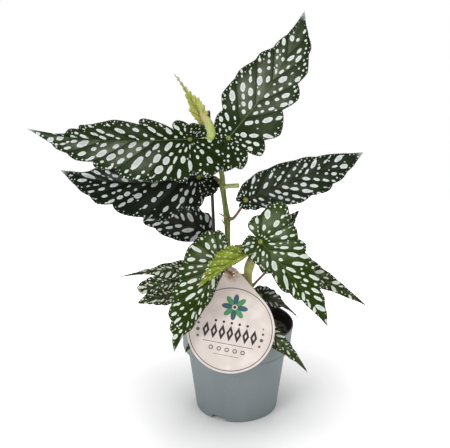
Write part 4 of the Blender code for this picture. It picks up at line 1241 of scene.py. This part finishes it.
def leaf_top(p, look):
    """Glossy flesh with a painted sheen in bands beside the veins, and silver spots that are whitest at
    their rims.
    """
    spot, along, off_vein, off_rib = (p.marked(mark) for mark in ("spot", "along", "vein", "rib"))
    inside, deep = spot.rising(-0.18, 0.14), spot.rising(0.3, 1.6)
    mottle = p.cloud(9, detail=3).rising(0.35, 0.65)
    rib_line = off_rib.rising(0.75, 0.35) * along.rising(0.85, 0.2) * along.rising(-0.01, 0.01)
    grey = deep * (0.5 + 0.5 * p.cloud(1.1, detail=2))
    pale_teeth = p.marked("tooth").rising(0.25, 0.8) * off_rib.rising(0.5, 1.5)
    dry_tip = along.rising(look.dry, 0.985) * p.cloud(1.6, detail=2).rising(0.2, 0.45)
    # The sheen is painted light: a highlight painted into the colour. Where the sheen mark says, it is mixed
    # from the flesh toward the palette's sheen colour.
    colour = (p.marked("sheen") * (0.7 + 0.4 * mottle)).mix(look.flesh, look.sheen).under(
        (p.cloud(1.3, detail=3).rising(0.4, 0.7) * 0.3, toned(look.flesh, 2.2)),
        (rib_line * 0.7, look.vein),
        (off_vein.rising(0.75, 0.2) * 0.65, toned(look.flesh, 0.55)),
        (p.marked("notch").rising(3.2, 1.2) * 0.8, NOTCH_GREEN),
        (inside, grey.mix(look.silver, toned(look.silver, 0.72))),
        (pale_teeth * 0.75, look.silver),
        (dry_tip * 0.8, toned(look.silver, 0.75)),
    )
    groove = off_vein.rising(0.0, 0.7) * 0.35 + off_rib.rising(0.0, 0.9) * 0.35
    pebbles = p.cells(0.75) * 0.12 + p.cloud(0.4) * 0.06
    return {
        "Base Color": colour, "Roughness": 0.38 + 0.14 * inside + 0.08 * mottle, "Specular IOR Level": 0.07,
        "Normal": p.relief(groove + pebbles + inside * 0.25, 0.5),
    }


def leaf_back(p, look):
    """Dull red with paler raised veins, and the faint shadows of the spots."""
    ridge = p.marked("vein").rising(0.8, 0.1)
    rib = p.marked("rib").rising(1.3, 0.3)
    shade = p.cloud(9, detail=3).rising(0.35, 0.65)
    colour = shade.mix(look.red, toned(look.red, 1.5)).under(
        (p.marked("spot").rising(-0.3, 0.3) * 0.35, toned(look.red, 0.6, 0.12)),
        (ridge * 0.5, toned(look.red, 0.8, 0.08)), (rib * 0.6, toned(look.red, 0.8, 0.12)),
    )
    return {
        "Base Color": colour, "Roughness": 0.5 + 0.1 * shade,
        "Normal": p.relief(ridge * 0.4 + rib * 0.5 + p.cells(0.8) * 0.1, 0.6),
    }


leaf_paints, blades = {}, {}
for name, colours in LEAF_COLOURS.items():
    look = SimpleNamespace(**{"dry": DRY_TIP} | colours)
    leaf_paints[name] = [
        material(name + "_leaf_top", lambda p: leaf_top(p, look)),
        material(name + "_leaf_back", lambda p: leaf_back(p, look)),
    ]
for number, (name, entry) in enumerate(LEAVES.items()):
    draw = np.random.default_rng(40 + number)
    blade = blades[name] = Blade(SimpleNamespace(**PLAIN_LEAF | entry), draw)
    flat, tooth, faces, outline, spots = flat_blade(blade, draw)
    marks, pucker, vein = leaf_marks(blade, flat, outline, spots)
    wave = WAVE * blade.length * marks["out"] ** 2 * np.sin(vein * WAVE_RATE + number + (flat[:, 1] > 0) * 2)
    wave *= gently(marks["rib"], 0.3, 5)
    curl = CURL * (1 - gently(marks["edge"], 0, CURL_WIDTH)) ** 2 * gently(marks["rib"], 2, 8)
    lift = PUCKER * pucker + wave - curl + SPOT_LIFT * gently(marks["spot"], -0.3, 0.6)
    upper, lower = (
        blade.place(flat[:, 0], flat[:, 1], lift + half_thickness)
        for half_thickness in (LEAF_THICKNESS / 2, -LEAF_THICKNESS / 2)
    )
    margin = sorted(points_on_margin(faces))
    upper[margin] = (upper[margin] + lower[margin]) / 2
    within = sorted(set(range(len(flat))) - set(margin))
    below = {i: i for i in margin} | {i: len(flat) + j for j, i in enumerate(within)}
    all_points = np.vstack([upper, lower[within]])
    all_faces = faces + [[below[i] for i in face[::-1]] for face in faces]
    leaf = add_piece("blade_" + name, all_points, all_faces, leaf_paints[entry["colours"]])
    leaf.data.polygons.foreach_set("material_index", [0] * len(faces) + [1] * len(faces))
    copies = np.concatenate([np.arange(len(flat)), within]).astype(int)
    keep_marks(leaf, tooth=tooth[copies], **{mark: values[copies] for mark, values in marks.items()})
    seat(leaf, "leaf_blade", "leaf_" + name)

# --------------------------------------------------------------------------------------------------
# The leaf stalks: fleshy red-brown petioles with fine pale flecks. Each grows out of its stem, or out of the
# soil, and meets its blade from behind at the notch.

ARRIVAL = (6.0, 3.0, 0.9, 0.45)
STALK_STEP, STALK_SIDES, STALK_ROOT = 0.9, 20, 2.4
# How thick a stalk is along its middle, and how much it swells at its root and its top, over what length.
SLIM, ROOT_SWELLING, ROOT_LENGTH, TOP_SWELLING, TOP_LENGTH = 0.88, 0.45, 4.5, 0.2, 3.0
STALKS = {
    "top_right": (1.9, ((-15.2, -6.1, 273), (-12, -5, 281), (-8.5, -6, 290))),
    "upper_left": (1.9, ((-27.6, -8.2, 284), (-34, -8, 287), (-43, -11, 293))),
    "middle_left": (1.9, ((-17.9, -3.4, 250.5), (-22, 2.2, 251), (-27, 3.4, 251), (-33, 4, 251))),
    "dark_left": (1.7, ((-12.8, -0.6, 183), (-14.5, 10, 182), (-18, 19, 182.5))),
    "right": (1.7, ((-6.8, -4.9, 211.5), (-4.6, -5.6, 212), (-1, -7, 216.5), (5, -7.5, 226))),
    "front_right": (1.9, ((16.3, -38.2, 184.8), (18, -39, 190), (20.5, -41, 196))),
    "front_left": (1.4, (
        (6.4, -31.2, 160.5), (1, -31.3, 162), (-4, -33.8, 163.2), (-4.8, -37.8, 164.3), (-5.2, -42.8, 166),
        (-11, -42, 171),
    )),
    "young": (1.3, ((11.3, -41, 180), (10.6, -42.4, 180.8), (12.3, -43, 183))),
    "back_left_high": (1.5, ((-11.8, -1, 152), (-25, 0, 155), (-42, -2, 157))),
    "back_left_mid": (1.5, ((-9.7, 0.4, 137), (-24, 12, 140), (-42, 9, 143))),
    "back_left_low": (1.5, ((-7, 1.6, 112), (-22, 14, 116), (-40, 13, 120))),
    "far_right": (1.4, ((16.4, -26.2, 148), (28.6, -21, 159.5), (40, -14, 168))),
    "small_dark": (1.2, ((17.6, -21.4, 124), (19, -19.5, 125), (21.5, -17, 127.5))),
    "over_rim": (1.3, ((19, -26, FOOT), (19, -26, 89), (22, -31, 98))),
    "left_rim": (1.3, ((-12, -22, FOOT), (-12, -22, 92), (-20, -32, 103))),
    "behind_right": (1.3, ((-6.2, -0.5, 168), (10, 12, 172), (30, 23, 174))),
}


def stalk_skin(p):
    """Red-brown skin, greener at its root and where it meets the blade, with pale flecks and fine hairs."""
    streaks = p.cloud(0.9, detail=2, stretch=(0.4, 0.4, 0.4))
    flecks = p.cells(1.7).rising(0.2, 0.1)
    ends = p.marked("ends")
    colour = streaks.rising(0.3, 0.7).mix((0.125, 0.036, 0.018), (0.235, 0.090, 0.045)).under(
        (ends * 0.75, (0.19, 0.17, 0.05)), (flecks * 0.4, (0.46, 0.36, 0.27))
    )
    return {
        "Base Color": colour, "Roughness": 0.4 + 0.15 * streaks,
        "Normal": p.relief(streaks * 0.5 + p.cloud(0.35) * 0.4, 0.15),
    }


red_skin = material("stalk_skin", stalk_skin)
for name, (radius, points) in STALKS.items():
    points = np.array([*points, *(blades[name].back(distance) for distance in ARRIVAL)])
    root = points[0] - unit(points[1] - points[0]) * (SUNK if points[0][2] < FOOT + 1 else STALK_ROOT)
    route = smooth_route([(*point, radius) for point in (root, *points)], STALK_STEP)
    up = lengths_along(route[:, :3])
    down = up[-1] - up
    route[:, 3] *= SLIM + ROOT_SWELLING * hump(up, ROOT_LENGTH) + TOP_SWELLING * hump(down, TOP_LENGTH)
    ends = hump(up, 6) + 0.8 * hump(down, 3.5)
    stalk = add_piece("petiole_" + name, *tube(route, STALK_SIDES, bulge=(0.5, 0.1)), [red_skin])
    keep_marks(stalk, ends=round_tube(ends, STALK_SIDES))
    seat(stalk, "red_stalk", "stalk_" + name)

# --------------------------------------------------------------------------------------------------
# The growing tip: a smooth yellow-green sheath of two stipules, wrapped round the foot of the newest leaf.
# It sits on the end of the main stem.

SHEATH = (
    (-27.2, -12.6, 294.5, 3.8), (-27.8, -14.2, 297.5, 5.9), (-28.3, -15.4, 302, 7), (-29.7, -16.8, 309, 6.9),
    (-32.3, -17.9, 315.5, 5.4), (-34.8, -18.7, 320.5, 2.6), (-36, -19, 323, 0.8),
)
SHEATH_STEP, SHEATH_SIDES, SHEATH_FLATNESS = 0.8, 40, 0.72
SEAM_TURN, SEAM_TWIST, SEAM_WIDTH, SEAM_DEPTH = -2.1, 0.9, 0.16, 0.15


def sheath_skin(p):
    """Thin yellow-green skin with fine lengthwise veins, browner at its papery top."""
    veins = p.cloud(1.2, detail=3, stretch=(1, 1, 0.12))
    papery = p.marked("papery")
    colour = veins.rising(0.3, 0.7).mix((0.29, 0.37, 0.075), (0.42, 0.47, 0.16))
    colour = colour.under((papery * 0.8, (0.46, 0.37, 0.17)))
    return {
        "Base Color": colour, "Roughness": 0.42 + 0.2 * papery, "Subsurface Weight": 0.12,
        "Subsurface Scale": 0.001, "Normal": p.relief(veins, 0.3),
    }


route = smooth_route(SHEATH, SHEATH_STEP)
points, faces = tube(route, SHEATH_SIDES, bulge=(0.6, 0.5), flat=SHEATH_FLATNESS)
shares = np.linspace(0, 1, len(route))
up = round_tube(shares, SHEATH_SIDES)
x, y = (points[:, i] - np.interp(points[:, 2], route[:, 2], route[:, i]) for i in (0, 1))
seam = hump(np.arctan2(y, x) - SEAM_TURN - SEAM_TWIST * up, SEAM_WIDTH) * gently(up, 0.1, 0.35)
middles = np.stack([np.interp(up, shares, route[:, i]) for i in range(3)], axis=-1)
points += (middles - points) * (seam * SEAM_DEPTH)[:, None]
sheath = add_piece("bud_sheath_skin", points, faces, [material("sheath_skin", sheath_skin)])
keep_marks(sheath, papery=gently(up, 0.45, 0.95))
seat(sheath, "green_stem", "bud_sheath")

# --------------------------------------------------------------------------------------------------
# The hang tag: a round card with a tapering neck and a punched hole, printed on one side with a ring, a
# rosette and a border pattern. It leans on the pot's rim, threaded on the stalk of the front left leaf.

TAG_RADIUS, TAG_NECK, TAG_NECK_RADIUS = 43.7, 62.0, 5.5
TAG_HOLE_RADIUS, TAG_HOLE_HEIGHT = 2.3, 55.0
TAG_THICKNESS, TAG_BOW, TAG_GRID = 0.6, 0.7, 1.8
DISC_STEPS, NECK_STEPS, HOLE_STEPS = 160, 24, 40
TAG_SIDE, TAG_CENTRE_HEIGHT, TAG_LEAN, TAG_TURN = -6.2, 112.4, 16.7, -1.5
TAG_GAP, RIM_EDGE = 0.3, 1.0
PRINT_TURN, RING_RADIUS, ARC_RADIUS = -9.0, 41.2, 38.9
PETALS, ROSETTE_HEIGHT, PETAL_MIDDLE, PETAL_REACH, PETAL_WIDTH = 8, 22.5, 7.8, 5.2, 2.7
LOZENGES, LOZENGE_PITCH, LOZENGE_HEIGHT, BEADS, BEAD_HEIGHT, SMALL_RING_HEIGHT = 7, 8.0, -4.0, 5, 6.4, -20.5
# The lines under the lozenges: how high each lies, how far it reaches to each side, and half its thickness.
PRINT_LINES = ((-14.8, 25.5, 0.28), (-26.2, 13.0, 0.2))
SIDE_DOTS = ((32.0, -5.0, 1.8), (32.4, 1.2, 1.3), (31.8, 6.4, 0.9), (31.0, -11.4, 1.3))
INK, TEAL, LEAF_GREEN = (0.030, 0.016, 0.020), (0.020, 0.085, 0.110), (0.050, 0.240, 0.085)
PALE_GREEN, BEIGE, HOLE_BROWN = (0.16, 0.26, 0.17), (0.50, 0.37, 0.24), (0.36, 0.26, 0.17)


def circle(centre, radius, start, sweep, steps):
    turns = np.linspace(start, start + sweep, steps + 1)
    return np.stack([radius * np.cos(turns), centre + radius * np.sin(turns)], axis=-1)


def band(value, middle, half, soft=0.12):
    """1 where value is within half of middle, with an edge this soft."""
    return abs(value - middle).rising(half + soft, half - soft)


def card_front(p):
    """Uncoated pinkish card with fine fibres, browner round its hole, and its print over that."""
    x, y = p.marked("print_x"), p.marked("print_y")
    from_middle = p.marked("from_middle")
    fibres = p.cloud(0.5, detail=3, stretch=(1, 0.4, 0.4))
    smudge = p.cloud(14, detail=3).rising(0.4, 0.7)
    colour = smudge.mix((0.60, 0.535, 0.495), (0.68, 0.615, 0.575))
    # The card turns browner in a patchy ring round the hole.
    browner_round_hole = p.marked("from_hole").rising(10.0, 4.0) * (0.35 + p.cloud(3, detail=3).rising(0.35, 0.6))
    colour = (browner_round_hole * 0.85).mix(colour, HOLE_BROWN)

    # The thin ring, and a finer beige arc inside it on the upper right and the lower left.
    colour = (band(from_middle, RING_RADIUS, 0.42) * 0.95).mix(colour, INK)
    arc_side = (x + y).rising(14, 24) + (x * -1 - y).rising(40, 50)
    colour = (band(from_middle, ARC_RADIUS, 0.14) * arc_side * 0.8).mix(colour, BEIGE)

    # The rosette: eight pointed petals round a dot, teal and green by turns.
    up = y - ROSETTE_HEIGHT
    reach = (x * x + up * up) ** 0.5
    turn = p.math("ARCTAN2", up, x) * (PETALS / math.tau)
    petal = abs(p.math("FRACT", turn + 0.5) - 0.5)
    aside = petal * reach * (math.tau / PETALS) / PETAL_WIDTH
    inside = aside**2 + ((reach - PETAL_MIDDLE) / PETAL_REACH) ** 2
    shape = inside.rising(1.06, 0.94)
    vein = (petal * reach).rising(0.16, 0.08) * 0.6
    by_turns = p.math("GREATER_THAN", p.math("MODULO", p.math("FLOOR", turn + (PETALS + 0.5)), 2), 0.5)
    petal_colour = vein.mix(by_turns.mix(TEAL, LEAF_GREEN), PALE_GREEN)
    colour = shape.mix(colour, petal_colour)
    colour = (shape * inside.rising(0.78, 0.92) * 0.8).mix(colour, INK)
    colour = reach.rising(1.7, 1.4).mix(colour, INK)

    # The bold band: a row of hollow lozenges, with beads above it, and small rings and two lines below.
    across = (p.math("FRACT", x / LOZENGE_PITCH + 0.5) - 0.5) * LOZENGE_PITCH
    off_row = abs(y - LOZENGE_HEIGHT)
    lozenge = (abs(across) / 3.5 + off_row / 8.0).rising(1.03, 0.97)
    hollow = (abs(across) / 1.2 + off_row / 2.8).rising(0.97, 1.03)
    in_row, in_short_row = (
        abs(x).rising(count / 2 * LOZENGE_PITCH, count / 2 * LOZENGE_PITCH - 0.1)
        for count in (LOZENGES, BEADS)
    )
    colour = (lozenge * hollow * in_row).mix(colour, INK)
    bead, small_ring = (
        (across**2 + (y - height) ** 2) ** 0.5 for height in (BEAD_HEIGHT, SMALL_RING_HEIGHT)
    )
    colour = (bead.rising(1.45, 1.2) * in_short_row).mix(colour, INK)
    colour = (small_ring.rising(2.3, 2.05) * small_ring.rising(1.2, 1.45) * in_short_row).mix(colour, INK)
    for height, half, thickness in PRINT_LINES:
        colour = (band(y, height, thickness) * abs(x).rising(half, half - 0.2)).mix(colour, INK)

    # Four dots of different sizes on each side of the band.
    for aside, height, radius in SIDE_DOTS:
        dot = ((abs(x) - aside) ** 2 + (y - height) ** 2) ** 0.5
        colour = (dot.rising(radius + 0.1, radius - 0.1) * 0.85).mix(colour, INK)
    return {
        "Base Color": colour, "Roughness": 0.46 + 0.1 * fibres, "Specular IOR Level": 0.4,
        "Normal": p.relief(fibres, 0.05),
    }


def card_back(p):
    """The same card unprinted, with its fibres showing and a soft grey tone."""
    fibres = p.cloud(0.6, detail=4, stretch=(1, 0.4, 0.4))
    return {
        "Base Color": p.cloud(12, detail=4).mix((0.58, 0.53, 0.49), (0.68, 0.63, 0.59)),
        "Roughness": 0.7 + 0.1 * fibres, "Normal": p.relief(fibres, 0.08),
    }


neck_centre = TAG_NECK - TAG_NECK_RADIUS
tangent, upright = math.acos((TAG_RADIUS - TAG_NECK_RADIUS) / neck_centre), math.pi / 2
disc = circle(0, TAG_RADIUS, upright + tangent, math.tau - 2 * tangent, DISC_STEPS)
neck = circle(neck_centre, TAG_NECK_RADIUS, upright - tangent, 2 * tangent, NECK_STEPS)
hole = circle(TAG_HOLE_HEIGHT, TAG_HOLE_RADIUS, 0, math.tau, HOLE_STEPS)[:-1]
outline = filled_in(np.vstack([disc, neck, disc[:1]]), TAG_GRID)[:-1]
places = [
    (x + row % 2 * TAG_GRID / 2, y)
    for row, y in enumerate(np.arange(-TAG_RADIUS, TAG_NECK, TAG_GRID * GRID_ROWS))
    for x in np.arange(-TAG_RADIUS, TAG_RADIUS, TAG_GRID)
    if math.hypot(x, y) < TAG_RADIUS - 1 and math.hypot(x, y - TAG_HOLE_HEIGHT) > TAG_HOLE_RADIUS + 0.8
]
flat = np.vstack([outline, hole, places])
rim = list(range(len(outline)))
inner = [len(outline) + i for i in range(len(hole))]
found = geometry.delaunay_2d_cdt(
    [Vector(place) for place in flat], list(zip(inner, inner[1:] + inner[:1])), [rim], 1, 1e-4
)
card = np.array([tuple(place) for place in found[0]])
middles = [card[list(face)].mean(axis=0) for face in found[2]]
faces = [
    face for face, middle in zip(found[2], middles)
    if math.hypot(middle[0], middle[1] - TAG_HOLE_HEIGHT) > TAG_HOLE_RADIUS * 0.99
]
bow = TAG_BOW * ((card[:, 0] / TAG_RADIUS) ** 2 - 0.4)
front, back = TAG_THICKNESS / 2, -TAG_THICKNESS / 2
points = [(x, y, z + lift) for lift in (front, back) for (x, y), z in zip(card, bow)]
count = len(card)
both_faces = list(faces) + [[i + count for i in face[::-1]] for face in faces]
edges = {pair for face in faces for pair in zip(face, [*face[1:], face[0]])}
walls = [(b, a, a + count, b + count) for a, b in sorted(edges) if (b, a) not in edges]
lean = math.radians(TAG_LEAN)
off_rim = RIM_RADIUS + (TAG_THICKNESS / 2 + TAG_GAP) / math.cos(lean)
behind = (TAG_CENTRE_HEIGHT - POT_HEIGHT + RIM_EDGE) * math.tan(lean)
stand = Matrix.Translation((TAG_SIDE, behind - off_rim, TAG_CENTRE_HEIGHT))
stand @= Matrix.Rotation(upright - lean, 4, "X") @ Matrix.Rotation(math.radians(TAG_TURN), 4, "Z")
tag = add_piece(
    "hang_tag_card", [tuple(stand @ Vector(point)) for point in points], both_faces + walls,
    [material("card_front", card_front), material("card_back", card_back)], smooth_under=50,
)
tag.data.polygons.foreach_set("material_index", [0] * len(faces) + [1] * (len(faces) + len(walls)))
tilt = math.radians(PRINT_TURN)
both = np.vstack([card, card])
keep_marks(
    tag,
    print_x=both @ (math.cos(tilt), math.sin(tilt)), print_y=both @ (-math.sin(tilt), math.cos(tilt)),
    from_middle=np.hypot(*both.T), from_hole=np.hypot(both[:, 0], both[:, 1] - TAG_HOLE_HEIGHT),
)
seat(tag, "tag_card", "hang_tag")

# --------------------------------------------------------------------------------------------------
# The studio: a pale floor, a white surround, and large soft lights on every side. The camera looks a little
# down. Places and sizes here are metres, but for the floor's level.

FLOOR_RADIUS = 0.9
CAMERA_PLACE, CAMERA_TILT, CAMERA_TURN, CAMERA_LENS = (0, -0.770, 0.453), 72.1, 0.94, 63.44
SKY_LOW, SKY_HIGH = 1.0, 0.34
FLOOR_LEVEL, FLOOR_SIDES, LIGHTS_AIM = -0.2, 96, (0, 0, 0.2)
SOFT_LIGHTS = {
    "front_left": dict(place=(-1.1, -1.3, 1.1), size=0.9, power=14),
    "front_right": dict(place=(1.2, -1.1, 0.7), size=0.8, power=5),
    "behind": dict(place=(0.4, 1.5, 1.1), size=1.0, power=7),
    "above": dict(place=(-0.1, -0.2, 1.7), size=1.2, power=11.5),
}


def floor_skin(p):
    """Pale matt board, faintly mottled. It glows a little away from the pot, as a light table does."""
    away = p.node("VectorMath", {"operation": "LENGTH"}, {0: p.place()}, output=1)
    return {
        "Base Color": p.cloud(60, detail=3).mix((0.86, 0.86, 0.86), (0.89, 0.89, 0.89)), "Roughness": 0.9,
        "Specular IOR Level": 0.1, "Emission Color": away.rising(0.02, 0.40).mix((0, 0, 0), (1, 1, 1)),
        "Emission Strength": 0.9,
    }


disc = [
    (FLOOR_RADIUS / MM * math.cos(turn), FLOOR_RADIUS / MM * math.sin(turn), FLOOR_LEVEL)
    for turn in np.linspace(0, math.tau, FLOOR_SIDES, endpoint=False)
]
floor = add_piece("studio_floor", disc, [tuple(range(FLOOR_SIDES))], [material("floor_skin", floor_skin)])

world = bpy.data.worlds.new("studio")
world.use_nodes = True
surround = Paint(world.node_tree).node("TexCoord", {}, {}, output=0)
height = surround.node("SeparateXYZ", {}, {"Vector": surround}, output=2)
glow = height.rising(0.0, 0.45).mix((SKY_LOW,) * 3, (SKY_HIGH,) * 3)
world.node_tree.links.new(glow.socket, world.node_tree.nodes["Background"].inputs["Color"])
bpy.context.scene.world = world

for name, light in SOFT_LIGHTS.items():
    data = bpy.data.lights.new(name, "AREA")
    data.shape = "DISK"
    data.size = light["size"]
    data.energy = light["power"]
    lamp = bpy.data.objects.new(name, data)
    lamp.location = light["place"]
    lamp.rotation_euler = (Vector(LIGHTS_AIM) - lamp.location).to_track_quat("-Z", "Y").to_euler()
    bpy.context.scene.collection.objects.link(lamp)

lens = bpy.data.cameras.new("camera")
lens.lens = CAMERA_LENS
camera = bpy.data.objects.new("camera", lens)
camera.location = CAMERA_PLACE
camera.rotation_euler = (math.radians(CAMERA_TILT), 0, math.radians(CAMERA_TURN))
bpy.context.scene.collection.objects.link(camera)
bpy.context.scene.camera = camera
bpy.context.scene.view_settings.view_transform = "Standard"
